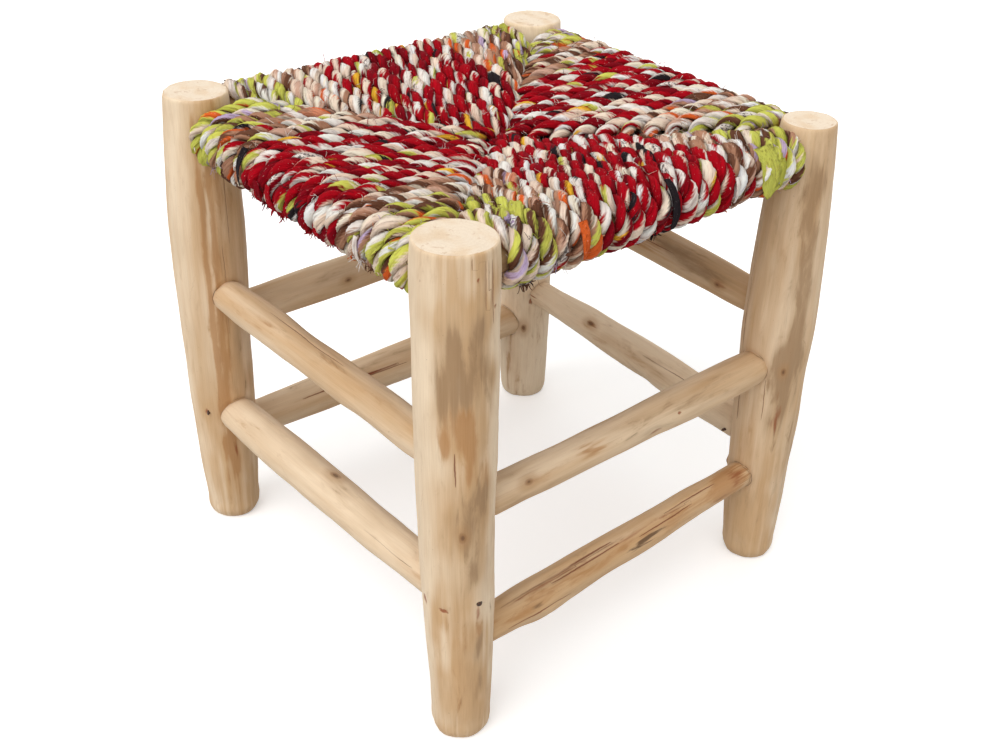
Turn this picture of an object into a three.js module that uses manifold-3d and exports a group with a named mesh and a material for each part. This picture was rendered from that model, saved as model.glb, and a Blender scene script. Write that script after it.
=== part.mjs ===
// Low square stool of peeled poles, with a seat wound from twisted rag cord.
// Millimetres, +Z up, origin on the floor under the middle of the stool.
// Left is -X, right is +X, front is -Y, back is +Y.
import * as THREE from 'three';
import { mergeVertices } from 'three/addons/utils/BufferGeometryUtils.js';
import Module from 'manifold-3d';

const wasm = await Module();
wasm.setup();

// Driving dimensions
const stoolHeight = 380;
const legSpacingX = 303;
const legSpacingY = 313;
const legDiameter = 54;
const rungDiameter = 31;
const seatRailDiameter = 22;
const seatRailDrop = 23;
const tenonDiameter = 18;
const railTenonDiameter = 16;
const tenonTipGap = 1;
const fitClearance = 0.3;
const cutOverrun = 4;

// Nails: each aims at a point this deep in a rung's tenon, and its tip reaches past the far side of the tenon
const nailShankDiameter = 2.4;
const nailHeadDiameter = 4.6;
const nailHeadThickness = 1;
const nailTenonDepth = 12;
const nailTipReach = 6;

// Seat cord: each circuit takes the cord once round the seat, over both rails at every corner
const cordDiameter = 10;
const cordLegGap = 0.6;
const cordSpacing = 11.3;
const knotGap = 0.4;
const seatSag = 12;
const centreThinning = 3.4;
// Circuits wound with the outer and the middle cord
const outerCordCount = 3;
const middleCordCount = 3;

// Faces round each kind of piece
const legSides = 16;
const rungSides = 12;
const nailSides = 8;
const cordSides = 5;

// Legs: offsets of the top, the foot and the bow are shares of the leg's diameter
const legHeightShares = [0, 0.012, 0.05, 0.13, 0.22, 0.33, 0.45, 0.56, 0.72, 0.85, 0.965, 1];
const legs = {
  front_left: {
    side: [-1, -1], sizeShare: 1.044,
    topShares: [0.006, -0.046], footShares: [-0.194, -0.085], bowShares: [-0.019, -0.024],
    girthShares: [0.68, 0.75, 0.775, 0.835, 0.88, 0.92, 0.945, 0.975, 1, 0.955, 0.86, 0.83],
  },
  front_right: {
    side: [1, -1], sizeShare: 0.989,
    topShares: [-0.019, 0.019], footShares: [0.132, 0.007], bowShares: [-0.011, -0.017],
    girthShares: [0.66, 0.735, 0.775, 0.82, 0.86, 0.905, 0.935, 0.95, 1, 0.985, 0.965, 0.945],
  },
  back_right: {
    side: [1, 1], sizeShare: 1.015,
    topShares: [-0.012, -0.033], footShares: [0.074, -0.019], bowShares: [-0.007, -0.011],
    girthShares: [0.65, 0.735, 0.785, 0.835, 0.885, 0.92, 0.96, 0.995, 0.95, 0.87, 0.77, 0.71],
  },
  back_left: {
    side: [-1, 1], sizeShare: 0.97,
    topShares: [0.037, 0.019], footShares: [-0.037, 0.148], bowShares: [0, -0.011],
    girthShares: [0.74, 0.8, 0.85, 0.89, 0.92, 0.945, 0.965, 0.98, 1, 0.985, 0.95, 0.92],
  },
};

// Rungs: heights of the axis at the two ends are shares of the stool's height
const rungLengthShares = [0.08, 0.2, 0.3, 0.42, 0.55, 0.68, 0.8, 0.92];
const rungs = {
  rung_front_upper: {
    from: 'front_left', to: 'front_right', heightShares: [0.586, 0.592], sizeShare: 0.89, bowShare: 0,
    girthShares: [0.93, 0.99, 1, 0.97, 0.95, 0.96, 0.98, 0.93],
  },
  rung_front_lower: {
    from: 'front_left', to: 'front_right', heightShares: [0.29, 0.311], sizeShare: 1.065, bowShare: -0.065,
    girthShares: [0.9, 0.97, 1, 1, 0.98, 0.92, 0.88, 0.86],
  },
  rung_back_upper: {
    from: 'back_left', to: 'back_right', heightShares: [0.622, 0.6035], sizeShare: 0.955, bowShare: 0,
    girthShares: [0.9, 0.95, 0.98, 1, 1, 1, 0.97, 0.88],
  },
  rung_back_lower: {
    from: 'back_left', to: 'back_right', heightShares: [0.318, 0.297], sizeShare: 1.016, bowShare: 0.065,
    girthShares: [0.76, 0.82, 0.89, 0.92, 0.97, 1, 1, 0.94],
  },
  rung_left_upper: {
    from: 'front_left', to: 'back_left', heightShares: [0.5, 0.5215], sizeShare: 0.994, bowShare: 0,
    girthShares: [0.94, 0.98, 1, 1, 0.98, 0.96, 0.93, 0.9],
  },
  rung_left_lower: {
    from: 'front_left', to: 'back_left', heightShares: [0.2135, 0.2305], sizeShare: 1.11, bowShare: 0,
    girthShares: [0.88, 0.92, 0.95, 0.98, 1, 1, 0.97, 0.9],
  },
  rung_right_upper: {
    from: 'front_right', to: 'back_right', heightShares: [0.492, 0.4975], sizeShare: 0.935, bowShare: -0.032,
    girthShares: [0.89, 0.88, 0.85, 0.88, 0.92, 0.98, 1, 0.93],
  },
  rung_right_lower: {
    from: 'front_right', to: 'back_right', heightShares: [0.2, 0.2265], sizeShare: 0.968, bowShare: 0,
    girthShares: [0.82, 0.93, 0.93, 0.86, 0.88, 0.8, 0.76, 0.76],
  },
};

// Seat rails: each lies a share of its diameter above or below the common height
const seatRails = {
  seat_rail_front: { from: 'front_left', to: 'front_right', riseShare: -0.18 },
  seat_rail_back: { from: 'back_left', to: 'back_right', riseShare: 0 },
  seat_rail_left: { from: 'front_left', to: 'back_left', riseShare: 0.09 },
  seat_rail_right: { from: 'front_right', to: 'back_right', riseShare: 0.09 },
};

// Nails: the head faces out of the leg, a share of the rung's diameter above the rung's axis
const nails = {
  nail_front_left: {
    leg: 'front_left', rung: 'rung_front_lower', end: 0, facing: [0.54, -0.84], riseShare: 0.16,
  },
  nail_front_right: {
    leg: 'front_right', rung: 'rung_front_lower', end: 1, facing: [1, -0.05], riseShare: 0.35,
  },
  nail_back_right: {
    leg: 'back_right', rung: 'rung_back_lower', end: 1, facing: [-0.54, 0.84], riseShare: 0.16,
  },
  nail_back_left: {
    leg: 'back_left', rung: 'rung_back_lower', end: 0, facing: [-1, 0.05], riseShare: 0.35,
  },
};

// The four corners in the order that the cord visits them
const corners = [
  { leg: 'front_left', arriveRail: 'seat_rail_front', leaveRail: 'seat_rail_left' },
  { leg: 'front_right', arriveRail: 'seat_rail_right', leaveRail: 'seat_rail_front' },
  { leg: 'back_right', arriveRail: 'seat_rail_back', leaveRail: 'seat_rail_right' },
  { leg: 'back_left', arriveRail: 'seat_rail_left', leaveRail: 'seat_rail_back' },
];
// The cord is squeezed where it dives through the weave
const squeezedShare = 0.72;
const middleShare = 0.5;
// Places where the cord crosses at a corner, in shares of the pitch on each axis and of the layer height
const arriveShares = [[-0.37, 0.55, -0.21], [0.13, 0, 0.965]];
const diveShares = [[0.12, -1.03, -0.83], [-0.4, -0.4, 0], [-1.03, 0.12, 0.83]];
const leaveShares = [[0, 0.13, -0.965], [0.55, -0.37, 0.21]];
const lastArriveShares = [[-0.37, 0.55, 0.25], [0, 0, 0.965]];
const lastLeaveShares = [[0, 0, -0.965]];

const half = (value) => value / 2;
const lerp = THREE.MathUtils.lerp;

// The seat rails lie below the tops of the legs, and a nail spans the leg and the tenon in it
const seatRailHeight = stoolHeight - seatRailDrop;
const nailLength = half(legDiameter) + half(tenonDiameter) + nailTipReach;

// Reads a table of shares at a place along its matching table of places
function readShares(places, shares, place) {
  const last = places.length - 1;
  let k = 0;
  while (k < last - 1 && place > places[k + 1]) k += 1;
  const t = THREE.MathUtils.clamp((place - places[k]) / (places[k + 1] - places[k]), 0, 1);
  return lerp(shares[k], shares[k + 1], t);
}

function cleanGeometry(geometry) {
  const copy = geometry.clone();
  copy.deleteAttribute('normal');
  copy.deleteAttribute('uv');
  return mergeVertices(copy);
}

function toSolid(geometry) {
  const clean = cleanGeometry(geometry);
  const mesh = new wasm.Mesh({
    numProp: 3,
    vertProperties: new Float32Array(clean.attributes.position.array),
    triVerts: new Uint32Array(clean.index.array),
  });
  return new wasm.Manifold(mesh);
}

function fromSolid(solid) {
  const mesh = solid.getMesh();
  const geometry = new THREE.BufferGeometry();
  geometry.setAttribute('position', new THREE.BufferAttribute(new Float32Array(mesh.vertProperties), 3));
  geometry.setIndex(new THREE.BufferAttribute(new Uint32Array(mesh.triVerts), 1));
  geometry.computeVertexNormals();
  return geometry;
}

// Turned solid along +Z from pairs of radius and height
function turned(profile, sides) {
  const points = profile.map(([radius, height]) => new THREE.Vector2(radius, height));
  const geometry = new THREE.LatheGeometry(points, sides);
  geometry.rotateX(Math.PI / 2);
  return cleanGeometry(geometry);
}

// Moves each ring of an upright solid sideways
function bend(geometry, offsetAt) {
  const position = geometry.attributes.position;
  for (let i = 0; i < position.count; i += 1) {
    const [dx, dy] = offsetAt(position.getZ(i));
    position.setX(i, position.getX(i) + dx);
    position.setY(i, position.getY(i) + dy);
  }
  return geometry;
}

// Turns an upright solid to run from one point to another, starting at the first
function aim(geometry, start, end) {
  const direction = end.clone().sub(start).normalize();
  const up = new THREE.Vector3(0, 0, 1);
  const turn = new THREE.Quaternion().setFromUnitVectors(up, direction);
  geometry.applyQuaternion(turn);
  geometry.translate(start.x, start.y, start.z);
  return geometry;
}

function legCentre(leg, height) {
  const share = height / stoolHeight;
  const bulge = Math.sin(Math.PI * share);
  const wander = [0, 1].map((axis) => {
    const lean = lerp(leg.footShares[axis], leg.topShares[axis], share);
    return legDiameter * (lean + leg.bowShares[axis] * bulge);
  });
  const x = half(leg.side[0] * legSpacingX) + wander[0];
  const y = half(leg.side[1] * legSpacingY) + wander[1];
  return new THREE.Vector3(x, y, height);
}

function legRadius(leg, height) {
  const diameter = legDiameter * leg.sizeShare;
  return half(diameter) * readShares(legHeightShares, leg.girthShares, height / stoolHeight);
}

// Leg pole, grown evenly by the given margin for cutting its neighbours
function legPole(leg, margin) {
  const rings = legHeightShares.map((share) => {
    const height = share * stoolHeight;
    return [legRadius(leg, height) + margin, height];
  });
  const pole = turned([[0, 0], ...rings, [0, stoolHeight]], legSides);
  return bend(pole, (height) => {
    const centre = legCentre(leg, height);
    return [centre.x, centre.y];
  });
}

// Axis ends of a rung or rail, on the two leg centre lines
function barEnds(bar) {
  const railHeight = seatRailHeight + (bar.riseShare ?? 0) * seatRailDiameter;
  const rungHeights = bar.heightShares?.map((share) => share * stoolHeight);
  const heights = rungHeights ?? [railHeight, railHeight];
  return [bar.from, bar.to].map((name, k) => legCentre(legs[name], heights[k]));
}

function pointAlong(start, end, distance) {
  const direction = end.clone().sub(start).normalize();
  return start.clone().addScaledVector(direction, distance);
}

function cylinderBetween(start, end, radius, sides) {
  const length = start.distanceTo(end);
  return aim(turned([[0, 0], [radius, 0], [radius, length], [0, length]], sides), start, end);
}

// Distance from the leg's centre line to a tenon's tip, which leaves room for the tenon across it
function tipInset(diameter) {
  return half(diameter) + tenonTipGap;
}

// Tenons of a bar, running from its middle into both legs
function tenonRod(bar, diameter, margin) {
  const [start, end] = barEnds(bar);
  const inset = tipInset(diameter) - margin;
  const tipA = pointAlong(start, end, inset);
  const tipB = pointAlong(end, start, inset);
  return toSolid(cylinderBetween(tipA, tipB, half(diameter) + margin, rungSides));
}

function rungBody(rung) {
  const [start, end] = barEnds(rung);
  const length = start.distanceTo(end);
  const radius = half(rungDiameter * rung.sizeShare);
  const radii = rungLengthShares.map((share, k) => [radius * rung.girthShares[k], share * length]);
  const first = radii[0][0];
  const last = radii[radii.length - 1][0];
  const pole = turned([[0, 0], [first, 0], ...radii, [last, length], [0, length]], rungSides);
  const bow = rung.bowShare * rungDiameter;
  const bowed = bend(pole, (height) => [0, bow * Math.sin(Math.PI * height / length)]);
  bowed.rotateZ(uprightTurn(start, end));
  return aim(bowed, start, end);
}

// Turn about the pole that leaves its bow upright once it is aimed
function uprightTurn(start, end) {
  const direction = end.clone().sub(start).normalize();
  const up = new THREE.Vector3(0, 0, 1);
  const turn = new THREE.Quaternion().setFromUnitVectors(up, direction);
  const level = up.clone().applyQuaternion(turn.invert());
  return Math.atan2(level.y, level.x) - Math.PI / 2;
}

function railBody(rail) {
  const [start, end] = barEnds(rail);
  return cylinderBetween(start, end, half(seatRailDiameter), rungSides);
}

// Bar shaped to the two legs it meets, with a tenon into each
function barBetweenLegs(bar, body, diameter) {
  const legA = toSolid(legPole(legs[bar.from], fitClearance));
  const legB = toSolid(legPole(legs[bar.to], fitClearance));
  return toSolid(body).subtract(legA).subtract(legB).add(tenonRod(bar, diameter, 0));
}

// Nail line: from the outside of the leg towards the axis of the tenon
function nailLine(nail) {
  const ends = barEnds(rungs[nail.rung]);
  const near = ends[nail.end];
  const far = ends[1 - nail.end];
  const leg = legs[nail.leg];
  const height = near.z + nail.riseShare * rungDiameter;
  const facet = Math.cos(Math.PI / legSides);
  const out = new THREE.Vector3(...nail.facing, 0).normalize();
  const head = legCentre(leg, height).addScaledVector(out, legRadius(leg, height) * facet - fitClearance);
  const aimedAt = pointAlong(near, far, tipInset(tenonDiameter) + nailTenonDepth);
  return { head, tip: pointAlong(head, aimedAt, nailLength) };
}

function nailHole(nail) {
  const { head, tip } = nailLine(nail);
  const bore = half(nailShankDiameter) + fitClearance;
  const sink = nailHeadThickness + fitClearance;
  const outer = pointAlong(head, tip, -cutOverrun);
  const inner = pointAlong(head, tip, nailLength + fitClearance);
  const seat = pointAlong(head, tip, sink);
  const shank = toSolid(cylinderBetween(outer, inner, bore, nailSides));
  const recess = toSolid(cylinderBetween(outer, seat, half(nailHeadDiameter) + fitClearance, nailSides));
  return shank.add(recess);
}

function nailGeometry(nail) {
  const { head, tip } = nailLine(nail);
  const shank = half(nailShankDiameter);
  const headRadius = half(nailHeadDiameter);
  const point = nailLength - nailShankDiameter;
  const profile = [
    [0, 0], [headRadius, 0], [headRadius, nailHeadThickness], [shank, nailHeadThickness],
    [shank, point], [0, nailLength],
  ];
  return aim(turned(profile, nailSides), head, tip);
}

function legGeometry(name) {
  let solid = toSolid(legPole(legs[name], 0));
  for (const rung of Object.values(rungs)) {
    if (rung.from === name || rung.to === name) {
      solid = solid.subtract(tenonRod(rung, tenonDiameter, fitClearance));
    }
  }
  for (const rail of Object.values(seatRails)) {
    if (rail.from === name || rail.to === name) {
      solid = solid.subtract(tenonRod(rail, railTenonDiameter, fitClearance));
    }
  }
  for (const nail of Object.values(nails)) {
    if (nail.leg === name) solid = solid.subtract(nailHole(nail));
  }
  return fromSolid(solid);
}

function rungGeometry(name) {
  let solid = barBetweenLegs(rungs[name], rungBody(rungs[name]), tenonDiameter);
  for (const nail of Object.values(nails)) {
    if (nail.rung === name) solid = solid.subtract(nailHole(nail));
  }
  return fromSolid(solid);
}

function railGeometry(name) {
  const rail = seatRails[name];
  return fromSolid(barBetweenLegs(rail, railBody(rail), railTenonDiameter));
}

// Half the span that the outermost wraps reach on each axis, and the pitch from one wrap to the next
const cordRadius = half(cordDiameter);
const wrapReach = [legSpacingX, legSpacingY].map((spacing) => {
  const reach = half(spacing - legDiameter);
  return reach - cordLegGap - cordRadius;
});
const circuits = Math.floor(Math.min(...wrapReach) / cordSpacing + middleShare);
const wrapPitch = wrapReach.map((reach) => reach / (circuits - middleShare));
const wrapRadius = half(seatRailDiameter) + fitClearance + cordRadius;
// A five-point half turn stands further out at its corners, so that its straight steps clear the rail
const wrapStep = Math.PI / 4;
const wrapCornerRadius = wrapRadius / Math.cos(half(wrapStep));
// First circuit of each colour of cord and the circuit after its last, counted from the legs inwards
const twoColourCount = outerCordCount + middleCordCount;
const cordRuns = {
  seat_cord_outer: [0, outerCordCount],
  seat_cord_middle: [outerCordCount, twoColourCount],
  seat_cord_inner: [twoColourCount, circuits],
};

// Point of a seat rail's axis beside a place in plan
function railAt(name, [x, y]) {
  const [start, end] = barEnds(seatRails[name]);
  const along = end.clone().sub(start);
  const share = Math.abs(along.x) > Math.abs(along.y) ? (x - start.x) / along.x : (y - start.y) / along.y;
  return start.clone().addScaledVector(along, share);
}

// Half turn of cord over a rail, from the top to the bottom, as steps away from the seat and up
function wrapSteps() {
  return [0, 1, 2, 3, 4].map((k) => {
    const angle = k * wrapStep;
    const radius = k % 4 === 0 ? wrapRadius : wrapCornerRadius;
    return [radius * Math.sin(angle), radius * Math.cos(angle)];
  });
}

// Points of the cord at one corner of one circuit, each with its share of the full cord thickness
function cornerPoints(circuit, k) {
  const quarter = half(k * Math.PI);
  const turn = (x, y) => [
    Math.round(Math.cos(quarter)) * x - Math.round(Math.sin(quarter)) * y,
    Math.round(Math.sin(quarter)) * x + Math.round(Math.cos(quarter)) * y,
  ];
  const corner = corners[k];
  const { side } = legs[corner.leg];
  const at = wrapPitch.map((pitch, axis) => side[axis] * pitch * (circuits - middleShare - circuit));
  const pitch = k % 2 === 0 ? wrapPitch : [wrapPitch[1], wrapPitch[0]];
  const inward = circuit / (circuits - 1);
  const middle = seatRailHeight - seatSag * inward;
  const layer = wrapRadius - centreThinning * inward;
  const place = (x, y, z, thickness) => {
    const [dx, dy] = turn(x, y);
    return { point: new THREE.Vector3(at[0] + dx, at[1] + dy, z), thickness };
  };
  const crossing = ([x, y, z]) => place(x * pitch[0], y * pitch[1], middle + z * layer, squeezedShare);
  const arrive = railAt(corner.arriveRail, at);
  const leave = railAt(corner.leaveRail, at);
  const arriveReach = k % 2 === 0 ? Math.abs(arrive.y - at[1]) : Math.abs(arrive.x - at[0]);
  const leaveReach = k % 2 === 0 ? Math.abs(leave.x - at[0]) : Math.abs(leave.y - at[1]);
  const arriveWrap = wrapSteps().map(([out, up]) => place(0, -arriveReach - out, arrive.z + up, 1));
  const leaveWrap = wrapSteps().map(([out, up]) => place(-leaveReach - out, 0, leave.z + up, 1));
  let arriving = arriveShares;
  let leaving = leaveShares;
  // The innermost circuit is too tight for the points between its corners
  if (circuit === circuits - 1) {
    arriving = k === 0 ? lastArriveShares : [lastArriveShares[1]];
    leaving = lastLeaveShares;
  }
  return [
    ...arriving.map(crossing), ...arriveWrap, ...diveShares.map(crossing), ...leaveWrap,
    ...leaving.map(crossing),
  ];
}

// End of a cord at the knot on the run into a circuit, set back from the middle of the knot
function knotEnd(circuit, setback) {
  const from = cornerPoints(circuit - 1, corners.length - 1).at(-1).point;
  const to = cornerPoints(circuit, 0)[0].point;
  const knot = from.clone().lerp(to, middleShare);
  return { point: pointAlong(knot, to, setback), thickness: 1 };
}

function cordPath([first, end]) {
  const path = first > 0 ? [knotEnd(first, half(knotGap))] : [];
  for (let circuit = first; circuit < end; circuit += 1) {
    for (let k = 0; k < corners.length; k += 1) path.push(...cornerPoints(circuit, k));
  }
  if (end < circuits) path.push(knotEnd(end, -half(knotGap)));
  return path;
}

// Unbroken tube along a path of points, its rings turned with the path and squeezed where the path says
function cordTube(path) {
  const points = path.map((step) => step.point);
  const last = points.length - 1;
  const tangents = points.map((point, i) => {
    const before = i > 0 ? point.clone().sub(points[i - 1]).normalize() : new THREE.Vector3();
    const after = i < last ? points[i + 1].clone().sub(point).normalize() : new THREE.Vector3();
    return before.add(after).normalize();
  });
  const positions = [];
  const indices = [];
  const normal = new THREE.Vector3(0, 0, 1).cross(tangents[0]).normalize();
  for (let i = 0; i <= last; i += 1) {
    if (i > 0) {
      const turn = new THREE.Quaternion().setFromUnitVectors(tangents[i - 1], tangents[i]);
      normal.applyQuaternion(turn).normalize();
    }
    const across = tangents[i].clone().cross(normal).normalize();
    const radius = cordRadius * path[i].thickness;
    for (let s = 0; s < cordSides; s += 1) {
      const angle = 2 * Math.PI * s / cordSides;
      const ring = points[i].clone();
      ring.addScaledVector(normal, radius * Math.cos(angle));
      ring.addScaledVector(across, radius * Math.sin(angle));
      positions.push(ring.x, ring.y, ring.z);
    }
  }
  for (let i = 0; i < last; i += 1) {
    for (let s = 0; s < cordSides; s += 1) {
      const next = (s + 1) % cordSides;
      const a = i * cordSides + s;
      const b = i * cordSides + next;
      const c = a + cordSides;
      const d = b + cordSides;
      indices.push(a, b, d, a, d, c);
    }
  }
  const endRing = last * cordSides;
  for (let s = 1; s < cordSides - 1; s += 1) {
    indices.push(0, s + 1, s);
    indices.push(endRing, endRing + s, endRing + s + 1);
  }
  const geometry = new THREE.BufferGeometry();
  geometry.setAttribute('position', new THREE.Float32BufferAttribute(positions, 3));
  geometry.setIndex(indices);
  geometry.computeVertexNormals();
  return geometry;
}

// Least gap of the cord to itself, from samples along every stretch that are not next to each other
const gapSampleCount = 6;
const gapSkipCount = 4;
function leastCordGap(paths) {
  const samples = [];
  for (const path of paths) {
    for (let i = 0; i + 1 < path.length; i += 1) {
      for (let k = 0; k < gapSampleCount; k += 1) {
        const t = k / gapSampleCount;
        const point = path[i].point.clone().lerp(path[i + 1].point, t);
        samples.push({ point, radius: cordRadius * lerp(path[i].thickness, path[i + 1].thickness, t) });
      }
    }
  }
  const skip = gapSampleCount * gapSkipCount;
  let least = Infinity;
  for (let i = 0; i < samples.length; i += 1) {
    for (let j = i + skip; j < samples.length; j += 1) {
      const apart = samples[i].point.distanceTo(samples[j].point) - samples[i].radius - samples[j].radius;
      least = Math.min(least, apart);
    }
  }
  return least;
}

function peeledWood(color) {
  return new THREE.MeshStandardMaterial({ color, roughness: 0.75, metalness: 0 });
}

function nailSteel() {
  return new THREE.MeshStandardMaterial({ color: 0x3a3532, roughness: 0.5, metalness: 0.9 });
}

function ragCord(color) {
  return new THREE.MeshStandardMaterial({ color, roughness: 0.95, metalness: 0 });
}

function named(name, geometry, material) {
  const mesh = new THREE.Mesh(geometry, material);
  mesh.name = name;
  return mesh;
}

const cordColors = { seat_cord_outer: 0x93a03a, seat_cord_middle: 0x7d5a4a, seat_cord_inner: 0xb4303c };
const stool = new THREE.Group();
for (const name of Object.keys(legs)) {
  stool.add(named(`leg_${name}`, legGeometry(name), peeledWood(0xe0c7a2)));
}
for (const name of Object.keys(rungs)) stool.add(named(name, rungGeometry(name), peeledWood(0xd9b98c)));
for (const name of Object.keys(seatRails)) {
  stool.add(named(name, railGeometry(name), peeledWood(0xcaa877)));
}
for (const [name, nail] of Object.entries(nails)) stool.add(named(name, nailGeometry(nail), nailSteel()));
const cordPaths = Object.fromEntries(Object.entries(cordRuns).map(([name, run]) => [name, cordPath(run)]));
for (const [name, path] of Object.entries(cordPaths)) {
  stool.add(named(name, cordTube(path), ragCord(cordColors[name])));
}
console.log(`Least gap of the cord to itself: ${leastCordGap(Object.values(cordPaths)).toFixed(2)} mm`);

// The origin goes to the middle of the footprint of the whole stool
const middle = new THREE.Box3().setFromObject(stool, true).getCenter(new THREE.Vector3());
stool.position.set(-middle.x, -middle.y, 0);

export default stool;
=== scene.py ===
# Low square stool of peeled poles with a seat of twisted rag cord, dressed over its CAD frame.
# Metres, +Z up. Left is -X, right is +X, front is -Y, back is +Y.
import math

import bpy
import numpy as np
from mathutils import Matrix, Vector


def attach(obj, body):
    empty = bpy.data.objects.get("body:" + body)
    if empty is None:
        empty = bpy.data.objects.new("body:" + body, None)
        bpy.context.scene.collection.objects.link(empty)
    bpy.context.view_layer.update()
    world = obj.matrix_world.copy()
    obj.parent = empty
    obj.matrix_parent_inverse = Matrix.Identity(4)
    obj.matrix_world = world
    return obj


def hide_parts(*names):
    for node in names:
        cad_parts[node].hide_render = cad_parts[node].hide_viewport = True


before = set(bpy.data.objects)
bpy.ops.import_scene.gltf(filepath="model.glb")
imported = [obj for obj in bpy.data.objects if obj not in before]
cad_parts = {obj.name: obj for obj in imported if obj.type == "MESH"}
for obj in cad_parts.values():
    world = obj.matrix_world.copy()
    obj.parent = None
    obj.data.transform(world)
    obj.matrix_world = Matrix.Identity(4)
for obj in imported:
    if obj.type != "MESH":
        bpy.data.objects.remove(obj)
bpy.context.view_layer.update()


def named_rows(names, rows):
    """Table that gives each value of a row its name."""
    return {key: dict(zip(names, row)) for key, row in rows.items()}


# Sizes of the frame, about the middle of the leg spacing, and where that lies in the part's frame
stool_height = 0.380
leg_spacing = np.array([0.303, 0.313])
leg_diameter = 0.054
rung_diameter = 0.031
rail_diameter = 0.022
rail_height = 0.357
spacing_centre = np.array([0.00272, 0.00104, 0.0])

# Legs: offsets of the top, the foot and the bow are shares of the leg's diameter
leg_height_shares = [0, 0.012, 0.05, 0.13, 0.22, 0.33, 0.45, 0.56, 0.72, 0.85, 0.965, 1]
legs = named_rows(("side", "size", "top", "foot", "bow", "girth"), {
    "front_left": ((-1, -1), 1.044, (0.006, -0.046), (-0.194, -0.085), (-0.019, -0.024),
                   [0.68, 0.75, 0.775, 0.835, 0.88, 0.92, 0.945, 0.975, 1, 0.955, 0.86, 0.83]),
    "front_right": ((1, -1), 0.989, (-0.019, 0.019), (0.132, 0.007), (-0.011, -0.017),
                    [0.66, 0.735, 0.775, 0.82, 0.86, 0.905, 0.935, 0.95, 1, 0.985, 0.965, 0.945]),
    "back_right": ((1, 1), 1.015, (-0.012, -0.033), (0.074, -0.019), (-0.007, -0.011),
                   [0.65, 0.735, 0.785, 0.835, 0.885, 0.92, 0.96, 0.995, 0.95, 0.87, 0.77, 0.71]),
    "back_left": ((-1, 1), 0.97, (0.037, 0.019), (-0.037, 0.148), (0, -0.011),
                  [0.74, 0.8, 0.85, 0.89, 0.92, 0.945, 0.965, 0.98, 1, 0.985, 0.95, 0.92]),
})

# Legs at the two ends of the rungs and the rail of each side
side_legs = {
    "front": ("front_left", "front_right"), "back": ("back_left", "back_right"),
    "left": ("front_left", "back_left"), "right": ("front_right", "back_right"),
}

# Rungs: heights of the two ends are shares of the stool's height
rung_length_shares = [0.08, 0.2, 0.3, 0.42, 0.55, 0.68, 0.8, 0.92]
rungs = named_rows(("heights", "size", "bow", "girth"), {
    "rung_front_upper": ((0.586, 0.592), 0.89, 0, [0.93, 0.99, 1, 0.97, 0.95, 0.96, 0.98, 0.93]),
    "rung_front_lower": ((0.29, 0.311), 1.065, -0.065, [0.9, 0.97, 1, 1, 0.98, 0.92, 0.88, 0.86]),
    "rung_back_upper": ((0.622, 0.6035), 0.955, 0, [0.9, 0.95, 0.98, 1, 1, 1, 0.97, 0.88]),
    "rung_back_lower": ((0.318, 0.297), 1.016, 0.065, [0.76, 0.82, 0.89, 0.92, 0.97, 1, 1, 0.94]),
    "rung_left_upper": ((0.5, 0.5215), 0.994, 0, [0.94, 0.98, 1, 1, 0.98, 0.96, 0.93, 0.9]),
    "rung_left_lower": ((0.2135, 0.2305), 1.11, 0, [0.88, 0.92, 0.95, 0.98, 1, 1, 0.97, 0.9]),
    "rung_right_upper": ((0.492, 0.4975), 0.935, -0.032, [0.89, 0.88, 0.85, 0.88, 0.92, 0.98, 1, 0.93]),
    "rung_right_lower": ((0.2, 0.2265), 0.968, 0, [0.82, 0.93, 0.93, 0.86, 0.88, 0.8, 0.76, 0.76]),
})

# Seat rails: how far each lies above the common height, in rail diameters
rails = {"seat_rail_front": -0.18, "seat_rail_back": 0, "seat_rail_left": 0.09, "seat_rail_right": 0.09}

# Nails: the head faces out of the leg, a share of the rung's diameter above the rung's axis
nails = named_rows(("rung", "end", "facing", "rise"), {
    "nail_front_left": ("rung_front_lower", 0, (0.54, -0.84), 0.16),
    "nail_front_right": ("rung_front_lower", 1, (1, -0.05), 0.35),
    "nail_back_right": ("rung_back_lower", 1, (-0.54, 0.84), 0.16),
    "nail_back_left": ("rung_back_lower", 0, (-1, 0.05), 0.35),
})
nail_head_diameter = 0.0046
nail_shank_diameter = 0.0024
nail_length = 0.042
nail_aim_depth = 0.022
nail_head_rise = 0.0005

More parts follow.
